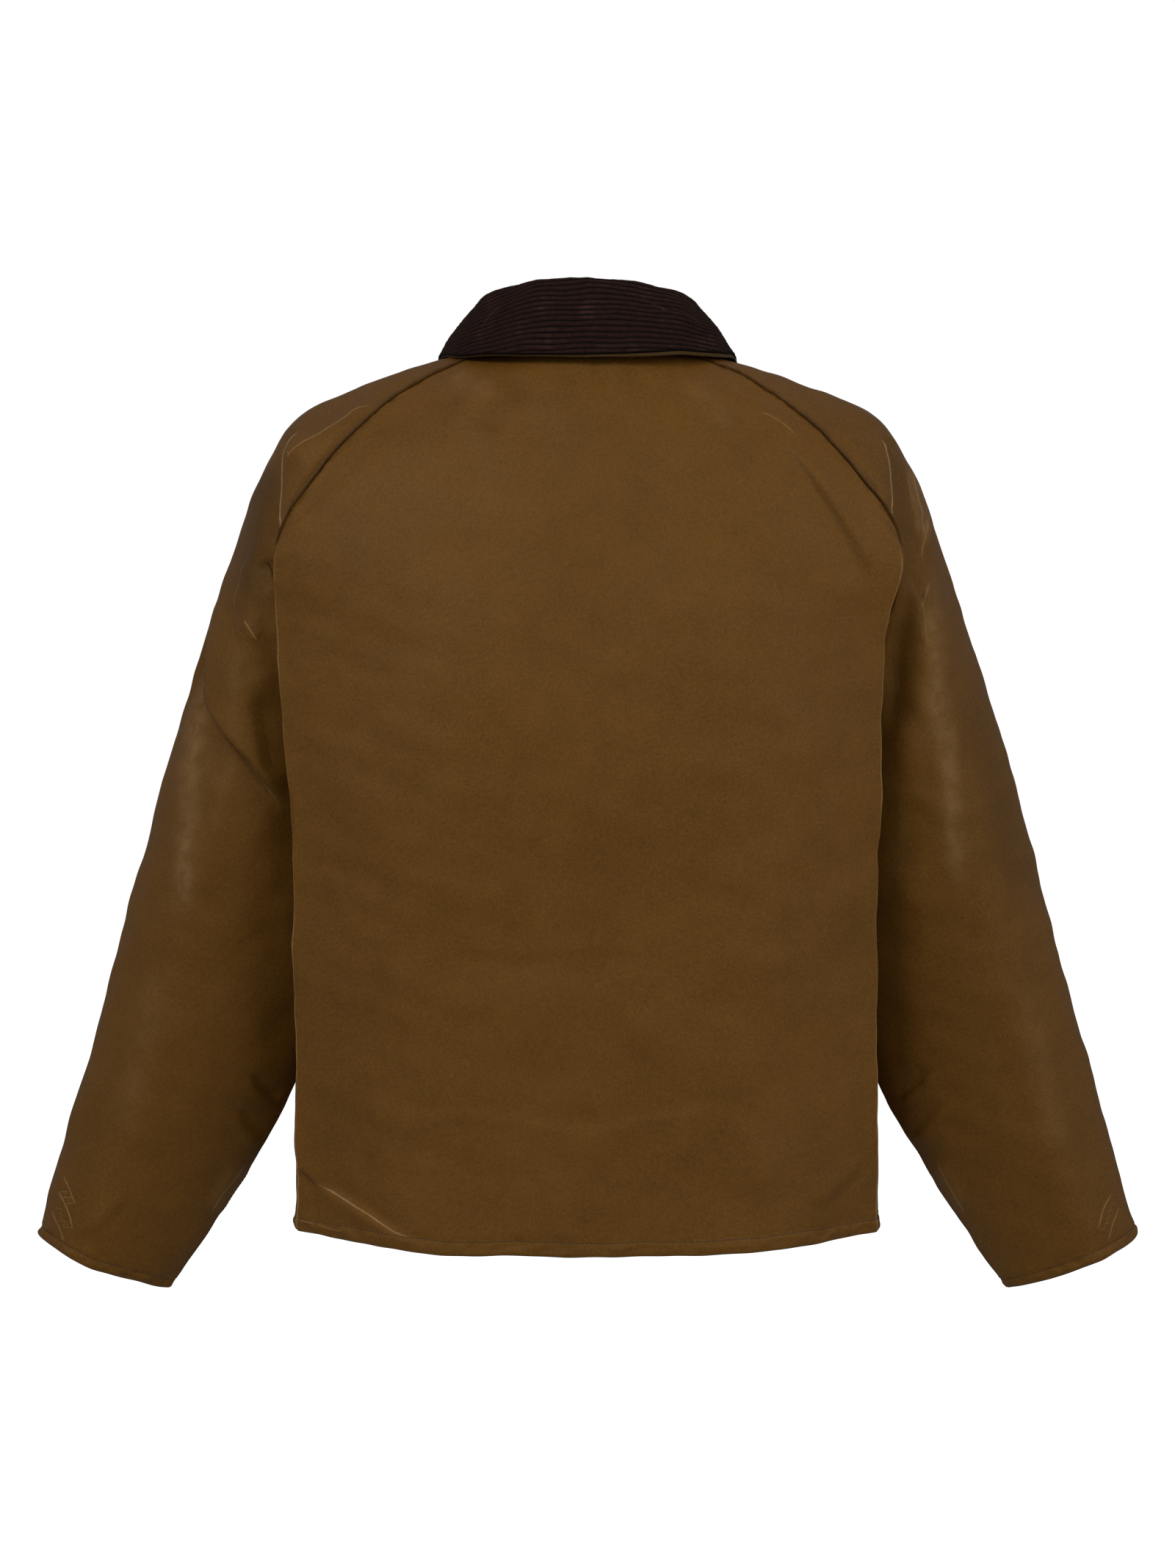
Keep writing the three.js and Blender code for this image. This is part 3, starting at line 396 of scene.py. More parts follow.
def across(stations, stretches, crisp=None, first=0):
    """Sections through the stations of every row. Each stretch is a list of steps from 0 to 1, and
    crisp, from 0 to 1 for each station, turns a smooth bend into a folded edge."""
    rows, count = stations.shape[:2]
    if crisp is None:
        crisp = np.zeros((rows, count))
    gaps = np.sqrt(np.linalg.norm(np.diff(stations, axis=1), axis=2))
    knots = np.concatenate([np.zeros((rows, 1)), np.cumsum(gaps, axis=1)], axis=1)
    chords = np.diff(stations, axis=1) / gaps[..., None]
    out = []
    for stretch, steps in enumerate(stretches):
        k = first + stretch
        ends = []
        for station, own in ((k, k), (k + 1, k)):
            a = max(station - 1, 0)
            b = min(station + 1, count - 1)
            soft = (stations[:, b] - stations[:, a]) / (knots[:, b] - knots[:, a])[:, None]
            share = crisp[:, station, None]
            ends.append(soft * (1 - share) + chords[:, own] * share)
        span = gaps[:, k, None, None]
        out.append(hermite(np.asarray(steps)[None, :, None], stations[:, k, None],
                           stations[:, k + 1, None], ends[0][:, None] * span,
                           ends[1][:, None] * span))
    out.append(stations[:, first + len(stretches), None])
    return np.concatenate(out, axis=1)


def steps(count, lean=0.0):
    """Steps of a stretch, closer together at its start with a positive lean, or at its end."""
    share = np.arange(count) / count
    if lean >= 0:
        return share ** (1 + lean)
    return 1 - (1 - share) ** (1 - lean)


def mirrored(points):
    return points * np.array([-1, 1, 1])


def line(rows, key, shares):
    return spline([row[key] for row in rows], [row["share"] for row in rows], shares)


def lines_met(upper, upper_key, lower, lower_key, shares):
    """One line above the underarm and another below it."""
    high = line(upper, upper_key, np.minimum(shares, 1))
    low = line(lower, lower_key, np.maximum(shares, 1))
    return np.where((shares <= 1)[:, None], high, low)


def arm_stations(row):
    outer = np.array([row["outer"][0], row["axis"], row["outer"][1]], float)
    inner = np.array([row["inner"][0], row["axis"], row["inner"][1]], float)
    middle = (outer + inner) / 2
    half = (outer - inner) / 2

    def bulge(share, depth):
        return middle + half * share + np.array([0, depth, 0])
    return dict(
        share=row["share"],
        back_inner=bulge(-ARM_INNER_SHARE, row["back"] * ARM_INNER_DEPTH),
        back_arm=bulge(ARM_OUTER_SHARE, row["back"]),
        top=outer,
        front_arm=bulge(ARM_OUTER_SHARE, -row["front"]),
        front_inner=bulge(-ARM_INNER_SHARE, -row["front"] * ARM_INNER_DEPTH),
        inner=inner,
    )


UNDERARM = np.array(YOKE[-1]["back_seam"], float)
BODY_ROWS = YOKE + TORSO
SLEEVE_STATIONS = YOKE + [arm_stations(row) for row in ARM]
SIDE_ROWS = [dict(share=1, side=UNDERARM)] + TORSO
INNER_ROWS = [dict(share=1, inner=UNDERARM)] + SLEEVE_STATIONS[len(YOKE):]


def shares_down(count, turned):
    """Shares below the underarm: even rows, then close ones in the turned edge."""
    return np.concatenate([1 + (1 - turned) * np.arange(1, count + 1) / count,
                           2 - turned + turned * np.arange(1, TURNED_ROWS + 1) / TURNED_ROWS])


YOKE_SHARES = np.arange(YOKE_ROWS + 1) / YOKE_ROWS
TORSO_SHARES = np.concatenate([YOKE_SHARES, shares_down(TORSO_ROWS, HEM_DEPTH / CUT_LENGTH["torso"])])
ARM_SHARES = np.concatenate([YOKE_SHARES, shares_down(ARM_ROWS, CUFF_DEPTH / CUT_LENGTH["arm"])])


def back_grid(shares):
    blade, fold, tuck, centre = (line(BODY_ROWS, key, shares)
                                 for key in ("blade", "back_fold", "back_tuck", "centre_back"))
    seam = lines_met(YOKE, "back_seam", SIDE_ROWS, "side", shares)
    inward_at = [row["share"] for row in FOLD_INWARD]
    left, right = (np.outer(np.interp(shares, inward_at, [row[side] for row in FOLD_INWARD]),
                            (1, 0, 0)) for side in ("left", "right"))
    stations = np.stack([mirrored(seam), mirrored(tuck) + right, mirrored(fold) + right,
                         mirrored(blade), centre, blade, fold - left, tuck - left, seam], axis=1)
    crisp = np.zeros(stations.shape[:2])
    crisp[:, 2] = crisp[:, 6] = 0.75 * smooth(shares, 0.42, 0.56)
    half = [steps(28), steps(34, -0.5), steps(15, 0.4), steps(16, -0.6)]
    other = [1 - np.append(s, 1.0)[::-1][:-1] for s in reversed(half)]
    return across(stations, other + half, crisp), sum(len(stretch) for stretch in other[:2])


def front_grid(shares):
    tuck, fold, chest, centre = (line(BODY_ROWS, key, shares)
                                 for key in ("front_tuck", "front_fold", "chest", "centre_front"))
    seam = lines_met(YOKE, "front_seam", SIDE_ROWS, "side", shares)
    share_out = (PLACKET_HALF / chest[:, :1]) ** 2
    edge = centre + (chest - centre) * share_out
    edge[:, 0] = PLACKET_HALF
    stations = np.stack([seam, tuck, fold, chest, edge, centre, mirrored(edge), mirrored(chest)],
                        axis=1)
    crisp = np.zeros(stations.shape[:2])
    crisp[:, 2] = 0.45 * smooth(shares, 0.6, 0.8)
    return across(stations, [steps(13, 0.6), steps(12), steps(29, 0.3), steps(24), steps(10)], crisp)


def sleeve_grid(shares):
    keys = ("back_inner", "back_arm", "top", "front_arm", "front_inner")
    middle = [line(SLEEVE_STATIONS, key, shares) for key in keys]
    behind = lines_met(YOKE, "back_seam", INNER_ROWS, "inner", shares)
    before = lines_met(YOKE, "front_seam", INNER_ROWS, "inner", shares)
    stations = np.stack([middle[-1], behind, *middle, before, middle[0]], axis=1)
    crisp = np.zeros(stations.shape[:2])
    crisp[:, 1] = crisp[:, 7] = 1 - smooth(shares, 1, 1.15)
    return across(stations, [steps(24, 0.6), steps(26), steps(24), steps(24), steps(24),
                             steps(22, -0.6)], crisp, first=1)


def grid_normals(grid):
    return unit(np.cross(np.gradient(grid, axis=1), np.gradient(grid, axis=0)))


def arcs(grid, axis):
    """How far along its row or column each point of a grid is."""
    gaps = np.linalg.norm(np.diff(grid, axis=axis), axis=2)
    start = np.zeros_like(gaps[:, :1] if axis else gaps[:1])
    return np.concatenate([start, np.cumsum(gaps, axis=axis)], axis=axis)


def ripple(points, size, seed, count=16):
    """Seeded waves through space, of about unit height and of about this length."""
    rng = np.random.default_rng(seed)
    ways = unit(rng.normal(size=(count, 3))) / (size * rng.uniform(0.7, 1.5, (count, 1)))
    phases = rng.uniform(0, 2 * math.pi, count)
    total = np.zeros(points.shape[:-1])
    for way, phase in zip(ways, phases):
        total += np.sin(points @ way * 2 * math.pi + phase)
    return total / math.sqrt(count / 2)


def from_path(points, path):
    """Signed distance from a path in x and z, left of its travel positive, and how far along."""
    knots = run_of(path)
    at = np.linspace(0, knots[-1], max(int(knots[-1] / 2.5), 8))
    fine = spline(path, knots, at)
    a = fine[:-1]
    ways = fine[1:] - a
    lengths2 = (ways ** 2).sum(1)
    best = np.full(len(points), 1e9)
    signed = np.zeros(len(points))
    along = np.zeros(len(points))
    for k in range(len(a)):
        offset = points - a[k]
        t = np.clip(offset @ ways[k] / lengths2[k], 0, 1)
        rest = offset - t[:, None] * ways[k]
        distance = np.hypot(rest[:, 0], rest[:, 1])
        nearer = distance < best
        side = np.sign(ways[k][0] * offset[:, 1] - ways[k][1] * offset[:, 0])
        best = np.where(nearer, distance, best)
        signed = np.where(nearer, distance * np.where(side == 0, 1, side), signed)
        along = np.where(nearer, (k + t) / len(a), along)
    return signed, along


def creases_on(panel):
    return [(face, fold) for (on, face), folds in CREASES.items() if on == panel for fold in folds]


def step_lift(signed, fold):
    """The height beside a crease's line, by the signed distance from it."""
    share = 1 / (1 + np.exp(-2.2 * signed / fold["edge"]))
    (left, left_width), (right, right_width) = fold["left"], fold["right"]
    return (share * left * np.exp(-(signed / left_width) ** 2)
            + (1 - share) * right * np.exp(-(signed / right_width) ** 2))


def crease_fields(grid, facing, seam_at, panel):
    """The lift of a panel's creases, and the lines, wax bloom, painted sheen and painted shade that
    its material draws.
    """
    shape = grid.shape[:2]
    flat = grid[..., [0, 2]].reshape(-1, 2)
    facing = facing.reshape(-1)
    seam_at = seam_at.reshape(-1)
    lift = np.zeros(len(flat))
    fields = dict(pale_at=np.full(len(flat), LINE_FAR), pale=np.zeros(len(flat)),
                  dark_at=np.full(len(flat), LINE_FAR), dark=np.zeros(len(flat)),
                  bloom=np.zeros(len(flat)))
    for face, fold in creases_on(panel):
        path = fold["points"]
        reach = 2.6 * max(fold["left"][1], fold["right"][1]) + 4
        near = np.all((flat > path.min(0) - reach) & (flat < path.max(0) + reach), axis=1)
        picked = np.nonzero(near & (facing * face > 0.02))[0]
        if len(picked) == 0:
            continue
        signed, along = from_path(flat[picked], path)
        first, last = fold.get("ends", (0.22, 0.22))
        fade = smooth(along, 0, first) * smooth(1 - along, 0, last)
        shown = smooth(facing[picked] * face, 0.02, 0.24) * fade
        strength = shown * smooth(seam_at[picked], 1, 13)
        shown = shown * smooth(seam_at[picked], 0.4, 4)
        lift[picked] += strength * step_lift(signed, fold)
        line_at = signed + fold.get("line", 0)
        for name in ("pale", "dark"):
            if name in fold:
                power = fold[name] * np.clip(shown * 1.3, 0, 1)
                nearer_line(fields, name, picked, power, line_at)
        if "bloom" in fold:
            bloom = fold["bloom"] * strength * np.exp(-(signed / fold["bloom_width"]) ** 2)
            now = fields["bloom"][picked]
            fields["bloom"][picked] = np.where(np.abs(bloom) > np.abs(now), bloom, now)
    return lift.reshape(shape), {name: field.reshape(shape) for name, field in fields.items()}


def nearer_line(fields, name, picked, power, line_at, width=4):
    """Keeps, at each point, whichever drawn line shows the more there."""
    power_now, at_now = fields[name][picked], fields[name + "_at"][picked]
    better = (power * np.exp(-(line_at / width) ** 2)
              > power_now * np.exp(-(at_now / 4) ** 2))
    fields[name][picked] = np.where(better, power, power_now)
    fields[name + "_at"][picked] = np.where(better, np.clip(line_at, -LINE_FAR, LINE_FAR), at_now)


def mesh_object(name, verts, faces, material, uv=None, sharp=None, fields=None):
    mesh = bpy.data.meshes.new(name)
    mesh.from_pydata((verts * MM).tolist(), [],
                     faces if isinstance(faces, list) else faces.tolist())
    mesh.polygons.foreach_set("use_smooth", np.ones(len(faces), bool) if sharp is None else ~sharp)
    if uv is not None:
        corners = np.empty(len(mesh.loops), np.int32)
        mesh.loops.foreach_get("vertex_index", corners)
        layer = mesh.uv_layers.new(name="cut")
        layer.data.foreach_set("uv", (uv[corners] * MM).reshape(-1))
    for field, values in (fields or {}).items():
        layer = mesh.attributes.new(field, "FLOAT", "POINT")
        layer.data.foreach_set("value", np.asarray(values, np.float32).reshape(-1))
    mesh.materials.append(material)
    mesh.update()
    made = bpy.data.objects.new(name, mesh)
    scene.collection.objects.link(made)
    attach(made, "root")
    return made


def shell(name, outer, inner, material, flipped=False, welded_from=None, uv=None, fields=None):
    """A closed wall of cloth between two grids, with a plain rim round every free edge."""
    rows, count = outer.shape[:2]
    number = np.arange(rows * count).reshape(rows, count)
    if welded_from is not None:
        number[welded_from:, -1] = number[welded_from:, 0]
    quads = np.stack([number[:-1, :-1], number[:-1, 1:], number[1:, 1:], number[1:, :-1]],
                     axis=-1).reshape(-1, 4)
    if flipped:
        quads = quads[:, ::-1]
    shift = rows * count
    start = quads.reshape(-1)
    end = np.roll(quads, -1, axis=1).reshape(-1)
    free = ~np.isin(start * shift + end, end * shift + start) & (start != end)
    a = start[free]
    b = end[free]
    rims = np.stack([b, a, a + shift, b + shift], axis=-1)
    faces = np.concatenate([quads, quads[:, ::-1] + shift, rims])
    sharp = np.arange(len(faces)) >= 2 * len(quads)
    verts = np.concatenate([outer.reshape(-1, 3), inner.reshape(-1, 3)])
    if uv is None:
        uv = np.stack([arcs(outer, 1), arcs(outer, 0)], axis=-1)
    uv = np.concatenate([uv.reshape(-1, 2)] * 2)
    plain = dict(pale_at=LINE_FAR, pale=0, dark_at=LINE_FAR, dark=0, bloom=0, seam_at=FIELD_FAR,
                 hem_at=FIELD_FAR, inside=1)
    all_fields = {}
    for field, value in plain.items():
        shown = (fields or {}).get(field, np.full((rows, count), float(value)))
        if field == "inside":
            shown = np.zeros((rows, count))
        all_fields[field] = np.concatenate([shown.reshape(-1), np.full(shift, float(value))])
    used = np.unique(faces)
    place = np.zeros(len(verts), np.int64)
    place[used] = np.arange(len(used))
    made = mesh_object(name, verts[used], place[faces], material, uv[used], sharp,
                       {field: values[used] for field, values in all_fields.items()})
    return made


def drawn_in(grid, edges):
    """The grid with its free side edges moved in by half the seam gap."""
    grid = grid.copy()
    for column, inner, rows in edges:
        edge = grid[rows, column]
        away = np.linalg.norm(np.abs(edge) * [1, 0, 0] + edge * [0, 1, 1]
                              - UNDERARM * [1, 1, 1], axis=1)
        gap = UNDERARM_GAP + (SEAM_GAP - UNDERARM_GAP) * np.minimum(away / UNDERARM_REACH, 1)
        inward = unit(grid[rows, inner] - edge)
        along = unit(np.gradient(edge, axis=0))
        across_edge = inward - along * (inward * along).sum(1, keepdims=True)
        grid[rows, column] = edge + unit(across_edge) * gap[:, None] / 2
    return grid


def from_seam(grid, side, rows):
    """How far each point is from the seam at one side, square to it."""
    far = arcs(grid, 1)
    column = 0 if side == 0 else -1
    far = far if side == 0 else far[:, -1:] - far
    inward = unit(grid[:, 4 if side == 0 else -5] - grid[:, column])
    along = unit(np.gradient(grid[:, column], axis=0))
    slant = np.clip(np.linalg.norm(np.cross(inward, along), axis=1), 0.35, 1)
    kernel = np.ones(9) / 9
    slant = np.convolve(np.pad(slant, 4, mode="edge"), kernel, mode="valid")
    far = far * slant[:, None]
    far[~rows] = FAR
    return far


def sewn_lift(grid, seam_at, hem_at, felled, turned, seed):
    """The relief of seams and hems: a felled edge, its pucker, and the turned edge's own band."""
    pucker = ripple(grid, 12, seed, 20) + 0.6 * ripple(grid, 7, seed + 1, 20)
    near = np.exp(-(seam_at / 8) ** 2)
    lift = 0.32 * pucker * near * smooth(seam_at, 0, 1.5)
    if felled:
        lift += FELL_RISE * smooth(-seam_at, -FELL_WIDTH, -FELL_WIDTH + 2.4)
        lift -= 0.42 * np.exp(-((seam_at - STITCH_FROM_SEAM) / 0.8) ** 2)
    else:
        lift -= 0.8 * smooth(-seam_at, -3.5, 0)
    band = (hem_at < turned + 1) * 1.0
    lift += band * (0.55 * np.sin(np.pi * np.clip(hem_at / turned, 0, 1)) ** 0.8
                    + 0.34 * pucker * np.sin(np.pi * np.clip(hem_at / turned, 0, 1)))
    lift -= 0.5 * np.exp(-((hem_at - turned) / 0.9) ** 2)
    lift += 0.22 * pucker * np.exp(-((hem_at - turned) / 7) ** 2)
    lift -= 0.9 * smooth(-hem_at, -1.4, 0)
    return lift


def soft_lift(grid):
    return (0.75 * ripple(grid, 150, 3, 12) + 0.17 * ripple(grid, 50, 5, 20)
            + 0.06 * ripple(grid, 16, 7, 24))


class Finish:
    """A material under construction: its node tree, with short ways to add and join nodes."""

    def __init__(self, name):
        self.material = bpy.data.materials.new(name)
        self.material.use_nodes = True
        self.tree = self.material.node_tree
        self.shader = self.tree.nodes["Principled BSDF"]
        place = self.add("ShaderNodeTexCoord")
        self.place = place.outputs["Object"]
        self.cut = place.outputs["UV"]

    def add(self, kind, **settings):
        made = self.tree.nodes.new(kind)
        for name, value in settings.items():
            setattr(made, name, value)
        return made

    def put(self, socket, value):
        if isinstance(value, bpy.types.NodeSocket):
            self.tree.links.new(value, socket)
        else:
            socket.default_value = value

    def math(self, operation, a, b=0.0, c=0.0, clamp=False):
        made = self.add("ShaderNodeMath", operation=operation, use_clamp=clamp)
        for socket, value in zip(made.inputs, (a, b, c)):
            self.put(socket, value)
        return made.outputs[0]

    def noise(self, scale, detail=2.0, roughness=0.5, at=None, stretch=None):
        where = self.place if at is None else at
        if stretch is not None:
            mapping = self.add("ShaderNodeMapping")
            self.put(mapping.inputs["Vector"], where)
            mapping.inputs["Scale"].default_value = stretch
            where = mapping.outputs[0]
        made = self.add("ShaderNodeTexNoise")
        self.put(made.inputs["Vector"], where)
        made.inputs["Scale"].default_value = scale
        made.inputs["Detail"].default_value = detail
        made.inputs["Roughness"].default_value = roughness
        return made.outputs["Fac"]

    def ramp(self, value, low, high, out_low=0.0, out_high=1.0, soft=True):
        made = self.add("ShaderNodeMapRange", interpolation_type="SMOOTHSTEP" if soft else "LINEAR")
        for socket, number in zip(made.inputs, (value, low, high, out_low, out_high)):
            self.put(socket, number)
        return made.outputs[0]

    def blend(self, share, a, b, kind="MIX"):
        made = self.add("ShaderNodeMix", data_type="RGBA", blend_type=kind)
        self.put(made.inputs[0], share)
        self.put(made.inputs[6], a)
        self.put(made.inputs[7], b)
        return made.outputs[2]

    def scaled(self, colour, factor):
        made = self.add("ShaderNodeVectorMath", operation="SCALE")
        self.put(made.inputs[0], colour[:3] if isinstance(colour, tuple) else colour)
        self.put(made.inputs["Scale"], factor)
        return made.outputs[0]

    def field(self, name):
        return self.add("ShaderNodeAttribute", attribute_name=name).outputs["Fac"]

    def bump(self, height, distance, strength, under=None):
        made = self.add("ShaderNodeBump")
        self.put(made.inputs["Height"], height)
        made.inputs["Distance"].default_value = distance
        made.inputs["Strength"].default_value = strength
        if under is not None:
            self.put(made.inputs["Normal"], under)
        return made.outputs[0]

    def weave(self, scale):
        """A plain weave in the cloth's own cut: warp and weft ribs."""
        ribs = []
        for direction in ("X", "Y"):
            made = self.add("ShaderNodeTexWave", bands_direction=direction)
            self.put(made.inputs["Vector"], self.cut)
            made.inputs["Scale"].default_value = scale
            made.inputs["Distortion"].default_value = 0.6
            made.inputs["Detail"].default_value = 1.0
            ribs.append(made.outputs["Fac"])
        return self.math("MAXIMUM", *ribs)

    def line(self, name, width):
        """1 along a drawn line of the cloth, from its signed distance and strength: the pale lines
        are painted highlight with some worn wax, the dark ones painted shade.
        """
        at = self.math("ABSOLUTE", self.field(name + "_at"))
        at = self.math("ADD", at, self.math("MULTIPLY", self.noise(160, 2), 0.5))
        return self.math("MULTIPLY", self.ramp(at, width + 0.35, 0.3), self.field(name))


def linear(red, green, blue, gain=1.0):
    """A measured screen colour as the linear one that a shader takes."""
    return tuple(gain * (c / 255 / 12.92 if c <= 10 else ((c / 255 + 0.055) / 1.055) ** 2.4)
                 for c in (red, green, blue)) + (1.0,)


def waxed_cotton(name, colour, bloom_gain):
    """Waxed cotton: a dull weave, pale along ridges with painted highlight and some worn wax, dark in
    hollows and seams with painted shade and some grime, with wax bloom and painted sheen in bands.
    """
    f = Finish(name)
    cloudy = f.noise(9, 3, 0.55)
    patchy = f.noise(38, 4, 0.6)
    grain = f.noise(520, 4, 0.75)
    fine = f.noise(1300, 3, 0.75)
    tone = f.math("ADD", f.ramp(cloudy, 0.3, 0.7, 0.94, 1.06, False),
                  f.ramp(patchy, 0.3, 0.7, -0.06, 0.06, False))
    tone = f.math("ADD", tone, f.ramp(grain, 0.3, 0.7, -0.24, 0.24, False))
    tone = f.math("ADD", tone, f.ramp(fine, 0.3, 0.7, -0.16, 0.16, False))
    body = f.scaled(colour, tone)
    # The pale wax colour, for wax bloom and for painted sheen
    pale_wax_and_sheen = linear(142, 114, 78)
    bloom = f.math("MAXIMUM", f.field("bloom"), 0.0)
    bloom = f.math("MULTIPLY", bloom, f.ramp(f.noise(70, 4, 0.65), 0.3, 0.72, 0.25, 1.0))
    body = f.blend(f.math("MULTIPLY", bloom, bloom_gain), body, pale_wax_and_sheen)
    # Painted shade, where the bloom field is below zero
    painted_shade = f.math("MAXIMUM", f.math("MULTIPLY", f.field("bloom"), -0.6), 0.0)
    body = f.blend(painted_shade, body, linear(46, 29, 10))
    # Pale lines: painted highlight along ridges and fold edges, with some worn wax
    pale = f.line("pale", 0.75)
    body = f.blend(f.math("MULTIPLY", pale, 0.6), body, linear(172, 138, 92))
    # Dark lines: painted shade in creases and hollows
    dark = f.line("dark", 1.1)
    body = f.blend(f.math("MULTIPLY", dark, 0.8), body, linear(24, 15, 9))
    # Along the seams: a dark line in the seam gap, painted shadow with some grime, and patchy grime
    # with painted shade a few millimetres out
    seam = f.field("seam_at")
    seam_grime_and_shadow = f.math("MULTIPLY", f.ramp(seam, 1.25, 0.5), 0.85)
    seam_grime_and_shadow = f.math("MAXIMUM", seam_grime_and_shadow, f.math("MULTIPLY", f.ramp(seam, 7, 1.5),
                                            f.ramp(f.noise(60, 3), 0.3, 0.75, 0.0, 0.2)))
    hem = f.field("hem_at")
    worn = f.math("MULTIPLY", f.ramp(hem, 1.5, 0.2), f.ramp(f.noise(90, 3), 0.4, 0.7, 0.05, 0.3))
    body = f.blend(seam_grime_and_shadow, body, linear(30, 19, 9))
    body = f.blend(worn, body, linear(150, 120, 84))
    inside = f.field("inside")
    body = f.blend(f.math("MULTIPLY", inside, 0.25), body, linear(70, 46, 26))
    f.put(f.shader.inputs["Base Color"], body)
    rough = f.math("ADD", f.ramp(patchy, 0.3, 0.7, 0.44, 0.56, False),
                   f.math("MULTIPLY", f.math("ADD", bloom, pale), 0.12))
    f.put(f.shader.inputs["Roughness"], rough)
    turned = f.add("ShaderNodeLayerWeight").outputs["Facing"]
    f.put(f.shader.inputs["Specular IOR Level"], f.ramp(turned, 0.35, 0.85, 0.22, 0.05))
    f.shader.inputs["Specular Tint"].default_value = (1.0, 0.76, 0.45, 1)
    f.shader.inputs["Sheen Weight"].default_value = 0.015
    f.shader.inputs["Sheen Roughness"].default_value = 0.5
    f.shader.inputs["Sheen Tint"].default_value = linear(200, 160, 110)
    under = f.bump(f.noise(210, 4, 0.62), 0.0011, 0.34)
    under = f.bump(f.noise(900, 3, 0.7), 0.0003, 0.45, under)
    under = f.bump(f.weave(300), 0.00016, 0.5, under)
    f.put(f.shader.inputs["Normal"], under)
    return f.material


def corduroy(name):
    """Corduroy: dark pile on the wales, with painted highlight along their tops, reddish in worn
    patches, and painted shade almost black between them.
    """
    f = Finish(name)
    nap = f.noise(700, 4, 0.75)
    worn = f.noise(46, 4, 0.6)
    tuft = f.noise(240, 3, 0.65, stretch=(1, 1, 1))
    top = f.field("wale")
    # Painted shade almost black between the wales, and painted highlight on their tops
    low = linear(9, 6, 5)
    high = linear(36, 22, 18)
    body = f.blend(f.ramp(top, 0.15, 0.95), low, high)
    # Reddish patches on the wale tops: worn pile, with painted highlight
    body = f.blend(f.math("MULTIPLY", f.ramp(worn, 0.5, 0.8), f.ramp(top, 0.5, 1.0)), body,
                   linear(62, 39, 30))
    body = f.scaled(body, f.math("ADD", f.ramp(nap, 0.3, 0.7, 0.72, 1.28, False),
                                 f.ramp(tuft, 0.3, 0.7, -0.2, 0.2, False)))
    # A pale line along the collar's creases: painted highlight
    pale = f.line("pale", 1.0)
    body = f.blend(f.math("MULTIPLY", pale, 0.3), body, linear(120, 84, 66))
    f.put(f.shader.inputs["Base Color"], body)
    f.shader.inputs["Roughness"].default_value = 0.93
    f.shader.inputs["Specular IOR Level"].default_value = 0.06
    f.shader.inputs["Sheen Weight"].default_value = 0.03
    f.shader.inputs["Sheen Roughness"].default_value = 0.42
    f.shader.inputs["Sheen Tint"].default_value = linear(190, 130, 105)
    under = f.bump(f.noise(520, 4, 0.7), 0.0009, 0.6)
    f.put(f.shader.inputs["Normal"], f.bump(f.noise(1900, 3, 0.7), 0.0004, 0.6, under))
    return f.material


def sewing_thread(name, colour):
    """Twisted thread, dulled by wax."""
    f = Finish(name)
    twist = f.add("ShaderNodeTexWave", bands_direction="DIAGONAL")
    f.put(twist.inputs["Vector"], f.place)
    twist.inputs["Scale"].default_value = 420
    tone = f.math("ADD", f.ramp(twist.outputs["Fac"], 0, 1, 0.8, 1.1, False),
                  f.ramp(f.noise(60, 3), 0.3, 0.7, -0.2, 0.2, False))
    f.put(f.shader.inputs["Base Color"], f.scaled(colour, tone))
    f.shader.inputs["Roughness"].default_value = 0.6
    f.put(f.shader.inputs["Normal"], f.bump(twist.outputs["Fac"], 0.0001, 0.5))
    return f.material


def aged_brass(name):
    """Brass gone dull and brown, rubbed brighter in places, with fine scratches."""
    f = Finish(name)
    dull = f.noise(170, 5, 0.65)
    scratched = f.noise(300, 4, 0.7, stretch=(1, 1, 9))
    body = f.blend(f.ramp(dull, 0.38, 0.66), linear(92, 66, 38), linear(168, 132, 82))
    f.put(f.shader.inputs["Base Color"], body)
    f.shader.inputs["Metallic"].default_value = 0.95
    f.put(f.shader.inputs["Roughness"], f.ramp(dull, 0.3, 0.7, 0.5, 0.3, False))
    f.put(f.shader.inputs["Normal"], f.bump(scratched, 0.0001, 0.4))
    return f.material


WAXED_BODY = waxed_cotton("waxed_cotton_body", linear(92, 60, 19), 0.34)
# The sleeves: the body's cloth a little darker, as painted shade, and with more painted sheen
WAXED_SLEEVE_SHADED = waxed_cotton("waxed_cotton_sleeve_shaded", linear(89, 58, 18), 0.42)
# The under collar: the body's cloth darkened, as painted shade under the fall
WAXED_UNDER_SHADED = waxed_cotton("waxed_cotton_under_collar_shaded", linear(60, 42, 17), 0.3)
CORD = corduroy("corduroy_brown")
THREAD = sewing_thread("thread_brown", linear(58, 38, 18))
BRASS = aged_brass("brass_aged")

# The five large panels, on the wearer's left where they are in pairs
yoke = YOKE_ROWS + 1
back, left_of_fold = back_grid(TORSO_SHARES)
front = front_grid(TORSO_SHARES)
sleeve = sleeve_grid(ARM_SHARES)
back_normals = grid_normals(back)
front_normals = grid_normals(front)
sleeve_normals = grid_normals(sleeve)
tube = unit(sleeve_normals[yoke:, 0] + sleeve_normals[yoke:, -1])
sleeve_normals[yoke:, 0] = tube
sleeve_normals[yoke:, -1] = tube
back_seam_out = unit(back_normals[:yoke, -1] + mirrored(back_normals[:yoke, 0])
                     + 2 * sleeve_normals[:yoke, 0])
front_seam_out = unit(front_normals[:yoke, 0] + sleeve_normals[:yoke, -1])
side_out = unit(back_normals[yoke:, -1] + mirrored(back_normals[yoke:, 0])
                + 2 * front_normals[yoke:, 0])
back_normals[:yoke, -1] = back_seam_out
back_normals[:yoke, 0] = mirrored(back_seam_out)
